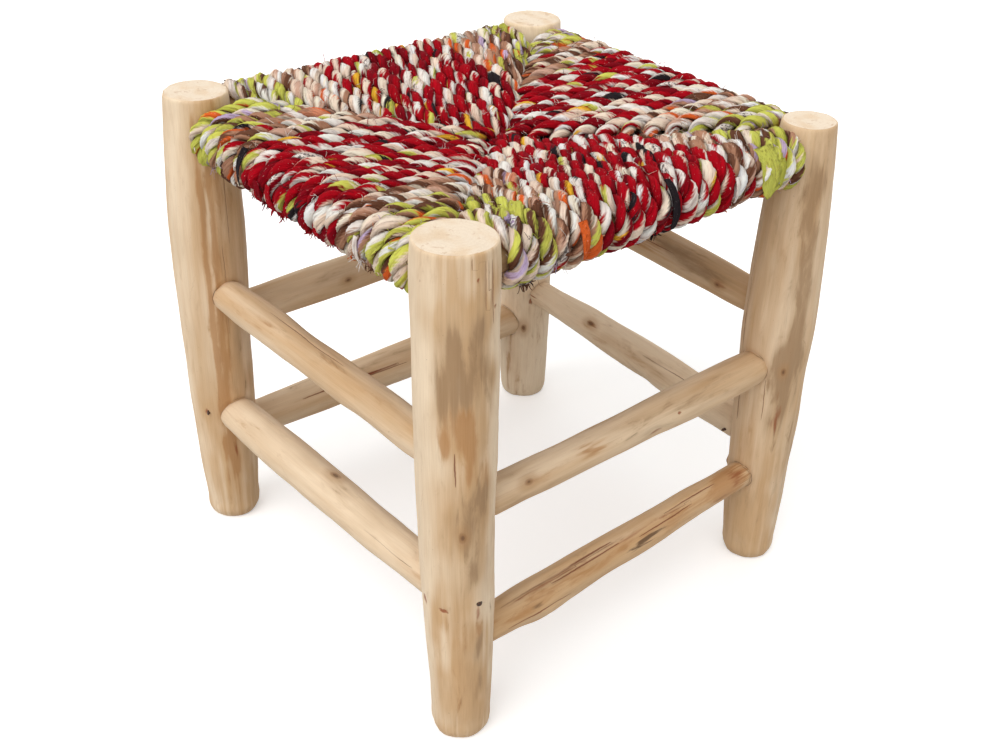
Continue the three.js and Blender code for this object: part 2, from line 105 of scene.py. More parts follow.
# Marks of the wood, by place: a share of the length, degrees round the pole, then sizes in metres.
# Degrees go round a leg from +X towards +Y, and round a rung from its top. Knots: size. Cracks: half length
# and half width. Dents, tans and stains: half length, half width, and depth or strength.
marks = {
    "leg_front_right": {
        "seed": 11, "tone": 0.06,
        "knots": [(0.491, -28, 0.0035), (0.30, 128, 0.006), (0.63, 170, 0.005)],
        "cracks": [(0.945, 5, 0.016, 0.0008), (0.93, 18, 0.021, 0.0004), (0.627, -38, 0.013, 0.0005),
            (0.985, -17, 0.004, 0.0002), (0.75, 120, 0.03, 0.0004)],
        "dents": [(0.325, -105, 0.004, 0.005, 0.0012), (0.325, -59, 0.002, 0.0035, 0.0007)],
        "tans": [(0.88, -22, 0.06, 0.018, 1.0), (0.68, -20, 0.09, 0.017, 0.6), (0.5, -15, 0.06, 0.015, 0.4),
            (0.8, -32, 0.04, 0.02, 0.35), (0.12, -25, 0.08, 0.026, 1.25)],
        "greys": [(0.85, -43, 0.018, 0.005, 0.8), (0.86, -35, 0.014, 0.0018, 0.45),
            (0.865, -9, 0.014, 0.0045, 0.75), (0.805, 1, 0.02, 0.005, 0.6), (0.78, -60, 0.022, 0.003, 0.55),
            (0.77, -38, 0.018, 0.009, 0.8), (0.8, -28, 0.034, 0.021, 0.8), (0.75, 14, 0.03, 0.004, 0.5),
            (0.565, 1, 0.01, 0.005, 0.9), (0.59, 12, 0.012, 0.004, 0.7), (0.49, -25, 0.024, 0.012, 0.8),
            (0.55, -18, 0.02, 0.013, 0.5), (0.407, -14, 0.011, 0.0045, 1.0), (0.235, 0, 0.018, 0.0035, 1.0),
            (0.13, 0, 0.012, 0.004, 0.8), (0.2, -25, 0.05, 0.014, 0.5), (0.6, 150, 0.06, 0.012, 0.8),
            (0.35, 90, 0.05, 0.01, 0.7)],
        "honeys": [(0.69, -56, 0.01, 0.005, 0.9), (0.665, -50, 0.01, 0.0035, 0.9),
            (0.705, -27, 0.012, 0.006, 1.1), (0.65, -21, 0.022, 0.007, 1.4), (0.605, 12, 0.014, 0.005, 0.9),
            (0.73, -40, 0.01, 0.012, 0.5), (0.568, -53, 0.012, 0.006, 0.4), (0.285, 0, 0.008, 0.004, 1.0),
            (0.27, -40, 0.025, 0.013, 0.6), (0.12, -40, 0.05, 0.02, 0.35), (0.5, 60, 0.07, 0.01, 0.6)],
        "scars": [(0.325, -59.6, 0.0016, 0.0036, 1.3), (0.325, -105, 0.004, 0.004, 1.0),
            (0.33, -3, 0.009, 0.002, 0.5), (0.953, -84, 0.0008, 0.0008, 0.9),
            (0.899, -79, 0.001, 0.001, 0.9), (0.958, -8, 0.0012, 0.0008, 0.8),
            (0.904, 22, 0.002, 0.0015, 0.9)],
    },
    "leg_front_left": {
        "seed": 23, "tone": 0.38,
        "knots": [(0.45, 100, 0.005), (0.72, -150, 0.003), (0.2, 170, 0.006)],
        "cracks": [(0.83, 8, 0.05, 0.0003), (0.6, -4, 0.04, 0.0003), (0.5, 150, 0.05, 0.0004)],
        "tans": [(0.2, -20, 0.08, 0.05, 0.45), (0.6, -2, 0.2, 0.016, 0.4)],
        "greys": [(0.45, 6, 0.08, 0.006, 0.6), (0.75, 12, 0.08, 0.005, 0.5), (0.5, 95, 0.06, 0.012, 0.7)],
        "honeys": [(0.8, -34, 0.12, 0.0022, 1.0), (0.6, -30, 0.15, 0.0018, 1.1),
            (0.7, -18, 0.13, 0.0025, 0.9), (0.6, -8, 0.2, 0.009, 0.5), (0.83, 6, 0.06, 0.008, 0.6),
            (0.33, -22, 0.09, 0.006, 0.8), (0.2, -14, 0.03, 0.006, 0.9), (0.5, 160, 0.09, 0.01, 0.8)],
        "scars": [(0.2, -10, 0.012, 0.0016, 0.7), (0.303, -57, 0.004, 0.003, 0.7)],
    },
    "leg_back_right": {
        "seed": 37, "tone": 0.42,
        "knots": [(0.502, -35, 0.0028), (0.7, 60, 0.006), (0.33, 150, 0.005)],
        "cracks": [(0.395, -112, 0.016, 0.0007), (0.60, -118, 0.03, 0.0004), (0.43, -60, 0.02, 0.00025),
            (0.6, 80, 0.04, 0.0005)],
        "dents": [(0.221, -142, 0.003, 0.003, -0.0015)],
        "tans": [(0.85, -50, 0.07, 0.03, 0.15), (0.12, -60, 0.09, 0.04, 0.5)],
        "greys": [(0.906, -23, 0.03, 0.007, 0.9), (0.81, -29, 0.035, 0.010, 1.0),
            (0.66, -25, 0.045, 0.010, 1.0), (0.53, -30, 0.035, 0.011, 1.1), (0.43, -37, 0.03, 0.008, 1.1),
            (0.85, -80, 0.05, 0.008, 0.45), (0.2, -50, 0.05, 0.02, 0.4), (0.56, 110, 0.07, 0.014, 0.8),
            (0.3, 20, 0.05, 0.012, 0.7)],
        "honeys": [(0.72, -62, 0.07, 0.012, 0.35), (0.6, -122, 0.06, 0.006, 0.9),
            (0.35, -75, 0.05, 0.01, 0.5), (0.5, 60, 0.08, 0.012, 0.7)],
        "scars": [(0.60, -118, 0.03, 0.0015, 0.7), (0.221, -142, 0.003, 0.002, 1.0),
            (0.395, -37, 0.02, 0.0035, 0.75)],
    },
    "leg_back_left": {
        "seed": 41, "tone": 0.08,
        "knots": [(0.222, -42, 0.0036), (0.55, 90, 0.005), (0.7, 20, 0.005)],
        "cracks": [(0.85, -160, 0.03, 0.0004), (0.4, 130, 0.04, 0.0004)],
        "greys": [(0.5, 140, 0.08, 0.012, 0.7), (0.3, -160, 0.05, 0.01, 0.6)],
        "honeys": [(0.6, 80, 0.08, 0.01, 0.7), (0.12, -80, 0.04, 0.01, 0.5), (0.17, -40, 0.08, 0.03, 0.4)],
        "scars": [(0.298, -26, 0.003, 0.002, 1.0)],
        "smudges": [(0.222, -42, 0.0024, 0.002, 1.4)],
    },
    "rung_front_upper": {
        "seed": 53, "tone": 0.55,
        "knots": [(0.62, 150, 0.004)],
        "cracks": [(0.45, 5, 0.05, 0.0003)],
        "greys": [(0.5, 20, 0.08, 0.006, 0.5)],
        "honeys": [(0.3, 60, 0.06, 0.006, 0.7), (0.75, 30, 0.05, 0.006, 0.6)],
    },
    "rung_front_lower": {
        "seed": 59, "tone": 0.32,
        "knots": [(0.528, -8, 0.004), (0.25, 170, 0.004)],
        "cracks": [(0.8, 60, 0.03, 0.0003)],
        "greys": [(0.56, 10, 0.02, 0.006, 0.6)],
        "honeys": [(0.2, 50, 0.05, 0.006, 0.5), (0.9, 60, 0.04, 0.006, 0.7)],
        "scars": [(0.528, -8, 0.006, 0.004, 0.5)],
    },
    "rung_right_upper": {
        "seed": 61, "tone": 0.5,
        "knots": [(0.166, 56, 0.0032), (0.4, -120, 0.004)],
        "cracks": [(0.5, -30, 0.04, 0.0003)],
        "dents": [(0.545, 104, 0.010, 0.006, 0.0022), (0.61, 72, 0.004, 0.003, 0.0008)],
        "greys": [(0.7, 50, 0.05, 0.006, 0.7), (0.12, 100, 0.02, 0.01, 0.7), (0.45, 30, 0.05, 0.005, 0.5)],
        "honeys": [(0.347, 54, 0.014, 0.005, 1.1), (0.18, 70, 0.02, 0.006, 0.7)],
        "scars": [(0.545, 106, 0.008, 0.003, 0.7), (0.615, 70, 0.002, 0.0015, 1.2)],
    },
    "rung_right_lower": {
        "seed": 67, "tone": 0.75,
        "knots": [(0.7, -130, 0.005)],
        "cracks": [(0.28, 12, 0.055, 0.0009), (0.36, 30, 0.035, 0.0006), (0.62, 45, 0.03, 0.0005),
            (0.72, 20, 0.03, 0.0005), (0.2, 90, 0.03, 0.0004)],
        "dents": [(0.219, 118, 0.014, 0.008, -0.0022), (0.28, 12, 0.05, 0.002, 0.0008)],
        "greys": [(0.3, 30, 0.05, 0.006, 0.8), (0.65, 60, 0.04, 0.005, 0.6)],
        "honeys": [(0.86, 40, 0.02, 0.02, 1.3), (0.7, 50, 0.05, 0.008, 0.9), (0.4, 50, 0.07, 0.007, 0.9),
            (0.15, 60, 0.03, 0.01, 0.7)],
        "scars": [(0.3, 20, 0.06, 0.002, 0.6), (0.6, 30, 0.06, 0.0015, 0.6), (0.88, 30, 0.01, 0.01, 0.5)],
        "smudges": [(0.521, 76, 0.016, 0.0035, 1.1), (0.205, 64, 0.008, 0.003, 1.0),
            (0.58, 62, 0.02, 0.0015, 0.8)],
    },
    "rung_left_upper": {
        "seed": 71, "tone": 0.55,
        "knots": [(0.359, 80, 0.003)],
        "cracks": [(0.6, 50, 0.05, 0.0003)],
        "greys": [(0.3, 60, 0.06, 0.006, 0.6)],
        "honeys": [(0.6, 40, 0.06, 0.006, 0.7)],
    },
    "rung_left_lower": {
        "seed": 73, "tone": 0.5,
        "knots": [(0.75, -60, 0.004)],
        "cracks": [(0.36, 54, 0.05, 0.0007), (0.45, 62, 0.03, 0.0004)],
        "greys": [(0.5, 30, 0.06, 0.005, 0.6)],
        "honeys": [(0.36, 54, 0.055, 0.003, 1.0)],
        "scars": [(0.36, 54, 0.05, 0.0018, 0.9)],
    },
    "rung_back_upper": {
        "seed": 79, "tone": 0.6,
        "knots": [(0.827, 80, 0.003), (0.3, -60, 0.004)],
        "cracks": [(0.5, 60, 0.05, 0.0004)],
        "greys": [(0.62, 50, 0.05, 0.007, 1.0), (0.8, 70, 0.03, 0.006, 0.8)],
        "honeys": [(0.5, 80, 0.05, 0.006, 1.0)],
        "scars": [(0.83, 80, 0.008, 0.003, 0.6)],
    },
    "rung_back_lower": {
        "seed": 83, "tone": 0.12,
        "knots": [(0.35, 48, 0.0035)],
        "cracks": [(0.7, 40, 0.04, 0.0003)],
        "dents": [(0.586, 130, 0.012, 0.006, 0.0025)],
        "greys": [(0.6, 60, 0.05, 0.006, 0.6)],
        "honeys": [(0.45, 70, 0.06, 0.006, 0.6)],
        "scars": [(0.35, 48, 0.008, 0.003, 1.0), (0.09, 85, 0.007, 0.001, 1.0)],
    },
}


def linear(red, green, blue):
    """Colour as the eye reads it, from 0 to 255, as the shader wants it."""
    def channel(value):
        share = value / 255
        return share / 12.92 if share <= 0.04045 else ((share + 0.055) / 1.055) ** 2.4
    return (channel(red), channel(green), channel(blue), 1.0)


def smooth_table(places, values, at):
    """Reads a table along a smooth curve through its points."""
    places = np.asarray(places, float)
    values = np.asarray(values, float)
    slopes = np.gradient(values, places)
    k = np.clip(np.searchsorted(places, at) - 1, 0, len(places) - 2)
    width = places[k + 1] - places[k]
    t = np.clip((at - places[k]) / width, 0, 1)
    rise = values[k] * (2 * t**3 - 3 * t**2 + 1) + values[k + 1] * (3 * t**2 - 2 * t**3)
    return rise + width * (slopes[k] * (t**3 - 2 * t**2 + t) + slopes[k + 1] * (t**3 - t**2))


def hashed(ix, iy, iz, seed):
    """Even random numbers from -1 to 1, one for each cell of a lattice."""
    h = ix.astype(np.uint32) * np.uint32(374761393)
    h ^= iy.astype(np.uint32) * np.uint32(668265263)
    h ^= iz.astype(np.uint32) * np.uint32(2246822519)
    h ^= np.uint32((int(seed * 7919) + 17) & 0xFFFFFFFF)
    h = (h ^ (h >> np.uint32(15))) * np.uint32(2246822519)
    h = (h ^ (h >> np.uint32(13))) * np.uint32(3266489917)
    h ^= h >> np.uint32(16)
    return h / 2147483647.5 - 1


def noise(x, y, z, seed):
    """Smooth random field with one hill or hollow in each unit of space."""
    cells = [np.floor(axis).astype(np.int64) for axis in (x, y, z)]
    parts = [axis - cell for axis, cell in zip((x, y, z), cells)]
    blend = [part * part * (3 - 2 * part) for part in parts]
    total = 0
    for dx in (0, 1):
        for dy in (0, 1):
            for dz in (0, 1):
                weight = np.ones_like(blend[0])
                for step, share in zip((dx, dy, dz), blend):
                    weight = weight * (share if step else 1 - share)
                total = total + weight * hashed(cells[0] + dx, cells[1] + dy, cells[2] + dz, seed)
    return total


def series(places, spacing, rng):
    """Smooth random curve from -1 to 1 along a line, with a new value at each spacing."""
    at = (places - places.min()) / spacing
    values = rng.uniform(-1, 1, int(at.max()) + 3)
    k = at.astype(int)
    t = at - k
    t = t * t * (3 - 2 * t)
    return values[k] * (1 - t) + values[k + 1] * t


def unit(vectors):
    return vectors / np.linalg.norm(vectors, axis=-1, keepdims=True)


def round_angles(count):
    return np.linspace(0, 2 * math.pi, count, endpoint=False)


def linked_object(name, data):
    thing = bpy.data.objects.new(name, data)
    bpy.context.scene.collection.objects.link(thing)
    return thing


def mesh_object(name, points, faces, material, layers=(), tint=None):
    """Mesh object from arrays of points and faces, with named values and a tint on its points."""
    mesh = bpy.data.meshes.new(name)
    corners = np.concatenate([part.ravel() for part in faces])
    sizes = np.concatenate([np.full(len(part), part.shape[1]) for part in faces])
    starts = np.concatenate([[0], np.cumsum(sizes)[:-1]])
    mesh.vertices.add(len(points))
    mesh.vertices.foreach_set("co", np.asarray(points, np.float32).ravel())
    mesh.loops.add(len(corners))
    mesh.loops.foreach_set("vertex_index", corners.astype(np.int32))
    mesh.polygons.add(len(sizes))
    mesh.polygons.foreach_set("loop_start", starts.astype(np.int32))
    mesh.polygons.foreach_set("use_smooth", np.ones(len(sizes), bool))
    mesh.update(calc_edges=True)
    for layer, values in layers:
        kind, key = ("FLOAT_VECTOR", "vector") if values.ndim > 1 else ("FLOAT", "value")
        attribute = mesh.attributes.new(layer, kind, "POINT")
        attribute.data.foreach_set(key, values.astype(np.float32).ravel())
    if tint is not None:
        colours = mesh.color_attributes.new("tint", "FLOAT_COLOR", "POINT")
        colours.data.foreach_set("color", tint.astype(np.float32).ravel())
    mesh.materials.append(material)
    return linked_object(name, mesh)


def settle(piece, node):
    """Carries a piece on the body, in the place of its node in the CAD frame."""
    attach(piece, "root")
    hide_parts(node)


def ring_faces(rows, columns, first=0):
    """Faces between rings of points that close on themselves."""
    ring = np.arange(columns)
    after = (ring + 1) % columns
    row = np.arange(rows - 1)[:, None] * columns + first
    quads = np.stack([row + ring, row + after, row + columns + after, row + columns + ring], -1)
    return quads.reshape(-1, 4)


def fan_faces(ring_start, columns, tip, flip):
    """Faces from a ring of points to one point."""
    ring = ring_start + np.arange(columns)
    after = ring_start + (np.arange(columns) + 1) % columns
    pair = (after, ring) if flip else (ring, after)
    return np.stack([*pair, np.full(columns, tip)], -1)


def capped_faces(rows, columns):
    """Faces of a row of rings and of its two ends, whose middle points follow after the last ring."""
    count = rows * columns
    return [ring_faces(rows, columns), fan_faces(0, columns, count, True),
            fan_faces(count - columns, columns, count + 1, False)]


def chained(operation):
    """Method that applies an operation to a value and each of the others in turn."""
    def method(self, value, *others):
        for other in others:
            value = self.math(operation, value, other)
        return value
    return method


class Nodes:
    """Adds nodes to a tree, and links each of them as it is added."""

    def __init__(self, tree):
        self.tree = tree
        tree.nodes.clear()

    def set(self, node, sockets):
        for key, value in sockets.items():
            if isinstance(value, bpy.types.NodeSocket):
                self.tree.links.new(value, node.inputs[key])
            else:
                node.inputs[key].default_value = value

    def add(self, kind, sockets=None, **settings):
        node = self.tree.nodes.new("ShaderNode" + kind)
        for key, value in settings.items():
            setattr(node, key, value)
        self.set(node, sockets or {})
        return node

    def math(self, operation, first, second=0.0, third=0.0):
        return self.add("Math", {0: first, 1: second, 2: third}, operation=operation).outputs[0]

    plus, minus, times = (chained(operation) for operation in ("ADD", "SUBTRACT", "MULTIPLY"))


class Shader(Nodes):
    """Builds one node material with a single surface."""

    def __init__(self, name):
        self.material = bpy.data.materials.new(name)
        self.material.use_nodes = True
        super().__init__(self.material.node_tree)
        self.surface = self.add("BsdfPrincipled")
        self.add("OutputMaterial", {"Surface": self.surface.outputs[0]})

    def layer(self, name, output="Fac"):
        """Values that the mesh carries on its points."""
        return self.add("Attribute", attribute_name=name).outputs[output]

    def stretch(self, vector, scale):
        return self.add("Mapping", {"Vector": vector, "Scale": scale}).outputs[0]

    def length(self, vector):
        return self.add("VectorMath", {0: vector}, operation="LENGTH").outputs["Value"]

    def noise(self, vector, scale, detail=3.0, roughness=0.5, distortion=0.0):
        """Noise with so many hills in a metre, which can differ from axis to axis."""
        if isinstance(scale, tuple):
            vector, scale = self.stretch(vector, scale), 1.0
        sockets = {"Vector": vector, "Scale": scale, "Detail": detail, "Roughness": roughness,
                   "Distortion": distortion}
        return self.add("TexNoise", sockets).outputs["Fac"]

    def range(self, value, low, high, to_low=0.0, to_high=1.0):
        sockets = {"Value": value, "From Min": low, "From Max": high, "To Min": to_low, "To Max": to_high}
        return self.add("MapRange", sockets, interpolation_type="SMOOTHSTEP").outputs[0]

    def mix(self, share, first, second, blend="MIX"):
        node = self.add("Mix", data_type="RGBA", blend_type=blend)
        self.set(node, {0: share, 6: first, 7: second})
        return node.outputs[2]

    def paint(self, color, share, red, green, blue, blend="MIX"):
        """Colour with a share of another over it, which is given as the eye reads it, from 0 to 255."""
        return self.mix(share, color, linear(red, green, blue), blend)

    def finish(self, color, roughness, height, depth, strength, others):
        """Joins everything to the surface, with the relief as bumps of the given depth."""
        bump = self.add("Bump", {"Height": height, "Distance": depth, "Strength": strength})
        sockets = {"Base Color": color, "Roughness": roughness, "Normal": bump.outputs[0]}
        self.set(self.surface, {**sockets, **others})
        return self.material


# Stains of the wood: layer, then for the wide wash the value where it is full, its share and its colour,
# then for the darker heart the values where it starts and is full, and its colour
wood_stains = [
    ("grey", 1.1, 0.55, (168, 135, 100), 0.55, 1.25, (154, 122, 88)),
    ("honey", 1.2, 0.5, (196, 150, 102), 0.5, 1.2, (178, 128, 78)),
]
# Knots: distance in knot sizes where a colour starts and is full, its share and the colour
knot_colors = [
    (2.4, 0.8, 0.45, (180, 138, 94)),
    (0.9, 0.5, 0.6, (148, 106, 68)),
    (0.5, 0.2, 0.65, (98, 66, 46)),
]


def peeled_wood():
    """Peeled pole: pale streaky wood with stains, knots, cracks, sawn ends, and dark lines at the joints with
    painted shade round them.
    """
    s = Shader("peeled_wood")
    grain = s.layer("grain", "Vector")
    broad = s.noise(grain, (60, 60, 6))
    streak = s.noise(grain, (170, 170, 7), 4.0, 0.55)
    fibre = s.noise(grain, (1500, 1500, 30))
    cloud = s.noise(grain, (34, 34, 20), 4.0)
    ragged = s.noise(grain, (150, 150, 30), 6.0, 0.62, 0.5)
    torn = s.times(s.minus(ragged, 0.5), 2.6)
    ripple = s.minus(s.noise(grain, 260.0, 2.0), 0.5)
    # Sapwood: cream and tan by broad bands, honey in the narrow streaks
    banded = s.math("MULTIPLY_ADD", broad, 1.5, s.minus(s.layer("tone"), 0.72))
    color = s.mix(s.range(banded, 0.0, 0.95), linear(243, 221, 191), linear(209, 172, 129))
    honey_share = s.times(s.range(streak, 0.48, 0.72), s.range(banded, 0.15, 0.9, 0.04, 0.38))
    color = s.paint(color, honey_share, 190, 147, 100)
    color = s.paint(color, s.range(cloud, 0.4, 0.7, 0.0, 0.45), 215, 188, 154)
    color = s.paint(color, s.range(ragged, 0.54, 0.66, 0.0, 0.22), 192, 158, 120)
    # Stains, with ragged edges and bare places in them
    fringe = s.times(torn, 0.35)
    tongues = s.times(torn, s.range(streak, 0.35, 0.6, 0.5, 1.3))
    for kind, wash_full, wash_share, wash, heart_start, heart_full, heart in wood_stains:
        stain = s.layer(kind)
        color = s.paint(color, s.range(s.plus(stain, fringe), 0.1, wash_full, 0.0, wash_share), *wash)
        color = s.paint(color, s.range(s.plus(stain, tongues), heart_start, heart_full, 0.0, 0.6), *heart)
    scar = s.range(s.plus(s.layer("scar"), s.times(torn, 0.5)), 0.3, 0.75, 0.0, 0.85)
    color = s.paint(color, scar, 146, 78, 44)
    smudge = s.range(s.plus(s.layer("smudge"), torn), 0.4, 1.0, 0.0, 0.85)
    color = s.paint(color, smudge, 92, 66, 46)
    # Knots: brown heart, honey ring and a pale rim, drawn out along the grain
    knot = s.plus(s.length(s.layer("knot", "Vector")), s.times(torn, 0.42))
    for outer, inner, share, knot_color in knot_colors:
        color = s.paint(color, s.range(knot, outer, inner, 0.0, share), *knot_color)
    # Cracks that run along the grain
    offset = s.math("ABSOLUTE", s.plus(s.layer("crack_offset"), s.times(ripple, 0.0006)))
    width = s.layer("crack_width")
    crack = s.range(s.math("DIVIDE", offset, s.plus(width, 0.00001)), 1.4, 0.5)
    crack = s.times(crack, s.range(width, 0.00002, 0.00012), s.range(streak, 0.36, 0.5, 0.35, 1.0))
    color = s.paint(color, s.times(crack, 0.8), 118, 60, 36)
    # Sawn ends: pale, with faint uneven rings and fine saw marks
    ring_wave = s.plus(s.times(s.length(s.stretch(grain, (1, 1, 0))), 1900.0), s.times(cloud, 22.0))
    rings = s.range(s.math("SINE", ring_wave), -1, 1, 0.0, 0.06)
    blotch = s.noise(grain, 75.0, 4.0)
    cut_color = s.mix(rings, linear(242, 225, 202), linear(206, 170, 124))
    cut_color = s.paint(cut_color, s.range(blotch, 0.42, 0.7, 0.0, 0.6), 228, 198, 160)
    cut_color = s.paint(cut_color, s.range(ragged, 0.58, 0.66, 0.0, 0.4), 196, 154, 110)
    cut = s.range(s.layer("cut"), 0.3, 0.8)
    saw_marks = s.times(cut, s.noise(grain, (90, 1300, 1), 2.0), 0.5)
    color = s.mix(cut, color, cut_color)
    # Fine fibre and grime
    color = s.paint(color, s.range(fibre, 0.35, 0.75, 0.0, 0.09), 150, 112, 74, "MULTIPLY")
    color = s.paint(color, s.range(s.noise(grain, 800.0, 1.0), 0.77, 0.82, 0.0, 0.5), 110, 76, 52)
    # Dark line where a rung goes into a leg, open on some stretches and tight on others, with painted shade
    # round it
    gap = s.plus(s.layer("gap"), s.times(ripple, 0.0008))
    open_share = s.range(s.noise(grain, 70.0, 2.0), 0.44, 0.62)
    joint = s.times(s.range(gap, -0.0005, 0.0), s.range(gap, 0.0005, 0.0), open_share)
    # Painted shade round the joint, fading out within four millimetres of the rung
    color = s.paint(color, s.range(gap, 0.004, 0.0, 0.0, 0.14), 160, 122, 86)
    color = s.paint(color, s.times(joint, 0.7), 84, 56, 38)
    height = s.plus(s.times(streak, 0.4), s.times(fibre, 0.2), s.times(ragged, 0.5))
    height = s.plus(s.minus(height, s.times(crack, 0.6), joint), saw_marks)
    roughness = s.range(s.plus(fibre, broad), 0.6, 1.4, 0.55, 0.8)
    return s.finish(color, roughness, height, 0.0006, 0.55, {"Specular IOR Level": 0.3})


def rag_cloth():
    """Twisted cotton rag: the colour of each strip, its folds along the ply with painted shade in their low
    places, weave, print and lint.
    """
    s = Shader("rag_cloth")
    ply = s.layer("ply", "Vector")
    fold = s.noise(ply, (620, 620, 110), 4.0, 0.62, 0.6)
    thread = s.noise(ply, (2600, 2600, 700), 2.0)
    stamp = s.range(s.noise(ply, 620.0, 2.0), 0.5, 0.58, 0.0, 0.8)
    printed = s.times(stamp, s.minus(1.0, s.layer("tint", "Alpha")))
    color = s.paint(s.layer("tint", "Color"), printed, 62, 54, 60)
    # Painted shade: the low places of the folds are darkened in the colour
    color = s.paint(color, s.range(fold, 0.3, 0.52, 0.55, 0.0), 140, 100, 86, "MULTIPLY")
    color = s.paint(color, s.range(s.noise(ply, 170.0, 2.0), 0.4, 0.7, 0.0, 0.2), 236, 208, 190, "MULTIPLY")
    lint = s.range(s.noise(ply, (1700, 1700, 500)), 0.67, 0.73, 0.0, 0.5)
    color = s.paint(color, lint, 244, 232, 222)
    height = s.plus(fold, s.times(thread, 0.3))
    others = {"Specular IOR Level": 0.06, "Sheen Weight": 0.015, "Sheen Roughness": 0.5}
    return s.finish(color, s.range(fold, 0.3, 0.7, 0.97, 0.82), height, 0.0019, 1.0, others)


def nail_steel():
    """Dull steel nail with brown rust and hammer marks."""
    s = Shader("nail_steel")
    place = s.add("TexCoord").outputs["Object"]
    rust = s.noise(place, 900.0)
    color = s.mix(s.range(rust, 0.4, 0.62), linear(66, 58, 52), linear(94, 58, 38))
    metal = s.range(rust, 0.4, 0.62, 0.85, 0.1)
    roughness = s.range(rust, 0.4, 0.62, 0.45, 0.85)
    return s.finish(color, roughness, s.noise(place, 1400.0, 2.0), 0.0003, 0.6, {"Metallic": metal})


def rail_wood():
    """Rough wood of the rails inside the weave."""
    s = Shader("rail_wood")
    place = s.add("TexCoord").outputs["Object"]
    streak = s.noise(place, (40, 40, 300), 4.0)
    cloud = s.noise(place, 60.0)
    color = s.mix(s.range(streak, 0.3, 0.7), linear(206, 172, 128), linear(160, 122, 82))
    color = s.paint(color, s.range(cloud, 0.4, 0.7, 0.0, 0.4), 140, 104, 70)
    return s.finish(color, s.range(cloud, 0.3, 0.7, 0.65, 0.85), streak, 0.0008, 0.8, {})


def leg_centre(name, heights):
    leg = legs[name]
    share = heights / stool_height
    bulge = np.sin(math.pi * np.clip(share, 0, 1))
    axes = []
    for axis in (0, 1):
        lean = leg["foot"][axis] + (leg["top"][axis] - leg["foot"][axis]) * share
        offset = leg_diameter * (lean + leg["bow"][axis] * bulge)
        axes.append(leg["side"][axis] * leg_spacing[axis] / 2 + offset)
    return np.stack([*axes, heights + 0 * share], -1) + spacing_centre


def leg_radius(name, heights):
    leg = legs[name]
    share = np.clip(heights / stool_height, 0, 1)
    return leg_diameter * leg["size"] / 2 * smooth_table(leg_height_shares, leg["girth"], share)


def bar_legs(name):
    """Legs at the two ends of a rung or rail."""
    return next(ends for side, ends in side_legs.items() if "_" + side in name)


def bar_ends(name):
    """Ends of a rung's or rail's axis, on the centre lines of its two legs."""
    if name in rungs:
        heights = [share * stool_height for share in rungs[name]["heights"]]
    else:
        heights = [rail_height + rails[name] * rail_diameter] * 2
    return [leg_centre(leg, np.array(height)) for leg, height in zip(bar_legs(name), heights)]


def rung_radius(name, share):
    rung = rungs[name]
    inside = np.clip(share, rung_length_shares[0], rung_length_shares[-1])
    return rung_diameter * rung["size"] / 2 * smooth_table(rung_length_shares, rung["girth"], inside)


def turn_between(angles, degrees):
    """Signed angle from a direction in degrees to each angle, in radians."""
    return (angles - math.radians(degrees) + math.pi) % (2 * math.pi) - math.pi


# Stains and dents: raggedness of their edges, and for the sides and the ends how often the edge swings round
# the pole and over which length
patch_raggedness = 0.6
patch_edges = [(2.2, 0.02), (13, 0.06)]


def patches(items, angles, along, radius, length):
    """Sum of soft patches on a pole, with tongues at their ends and uneven sides."""
    swings = []
    for k, (turns, run) in enumerate(patch_edges):
        swing = noise(np.cos(angles) * turns, np.sin(angles) * turns, along / run, length + k)
        swings.append(patch_raggedness * swing)
    total = np.zeros_like(along)
    for share, degrees, half_length, half_width, strength in items:
        across = turn_between(angles, degrees) * radius / half_width + swings[0]
        reach = (along - share * length) / half_length + swings[1]
        total += strength * np.exp(-across**2 - reach**2)
    return total


# Knots: length in knot widths, height of the swelling and depth of its hollow as shares of the size, how wide
# the one is and how narrow the other, and the distance in sizes past which a knot isn't felt
knot_length_share = 1.7
knot_swelling = 0.2
knot_hollow = 0.12
knot_spread = 3
knot_range = 9


def knot_places(items, angles, along, radius, length):
    """Place of each point about its nearest knot, in knot sizes, and the swelling round the knots."""
    nearest = np.full((*along.shape, 3), float(knot_range))
    nearest[..., 2] = 0
    best = np.full(along.shape, np.inf)
    swelling = np.zeros_like(along)
    for share, degrees, size in items:
        across = turn_between(angles, degrees) * radius / size
        reach = (along - share * length) / (size * knot_length_share)
        apart = across**2 + reach**2
        closer = apart < best
        best = np.where(closer, apart, best)
        for axis, place in ((0, across), (1, reach)):
            nearest[..., axis] = np.where(closer, np.clip(place, -knot_range, knot_range), nearest[..., axis])
        hollow = knot_hollow * np.exp(-apart * knot_spread)
        swelling += size * (knot_swelling * np.exp(-apart / knot_spread) - hollow)
    return nearest, swelling


# Cracks: sideways drift and the length that it swings over, depth and width of the groove in crack widths
crack_drift = 0.0007
crack_drift_length = 0.022
groove_depth_share = 1.2
groove_width_share = 2.2


def crack_places(items, angles, along, radius, length, seed):
    """Signed distance across to the nearest crack, the crack's half width there, and its groove."""
    offset = np.ones_like(along)
    width = np.zeros_like(along)
    groove = np.zeros_like(along)
    for k, (share, degrees, half_length, half_width) in enumerate(items):
        reach = (along - share * length) / half_length
        opening = half_width * np.sqrt(np.clip(1 - reach**2, 0, 1))
        drift = crack_drift * noise(along / crack_drift_length, 0 * along, 0 * along + k, seed + 5)
        across = turn_between(angles, degrees) * radius + drift
        inside = (opening > 0) & (np.abs(across) < np.abs(offset))
        offset = np.where(inside, across, offset)
        width = np.where(inside, opening, width)
        groove += opening * groove_depth_share * np.exp(-(across / (half_width * groove_width_share)) ** 2)
    return offset, width, groove


# Knife flats: length of pole for each, their half lengths, and their depths as shares of the radius
flat_spacing = 0.007
flat_half_lengths = (0.018, 0.055)
flat_depths = (0.006, 0.024)
flat_turn_limit = 0.1


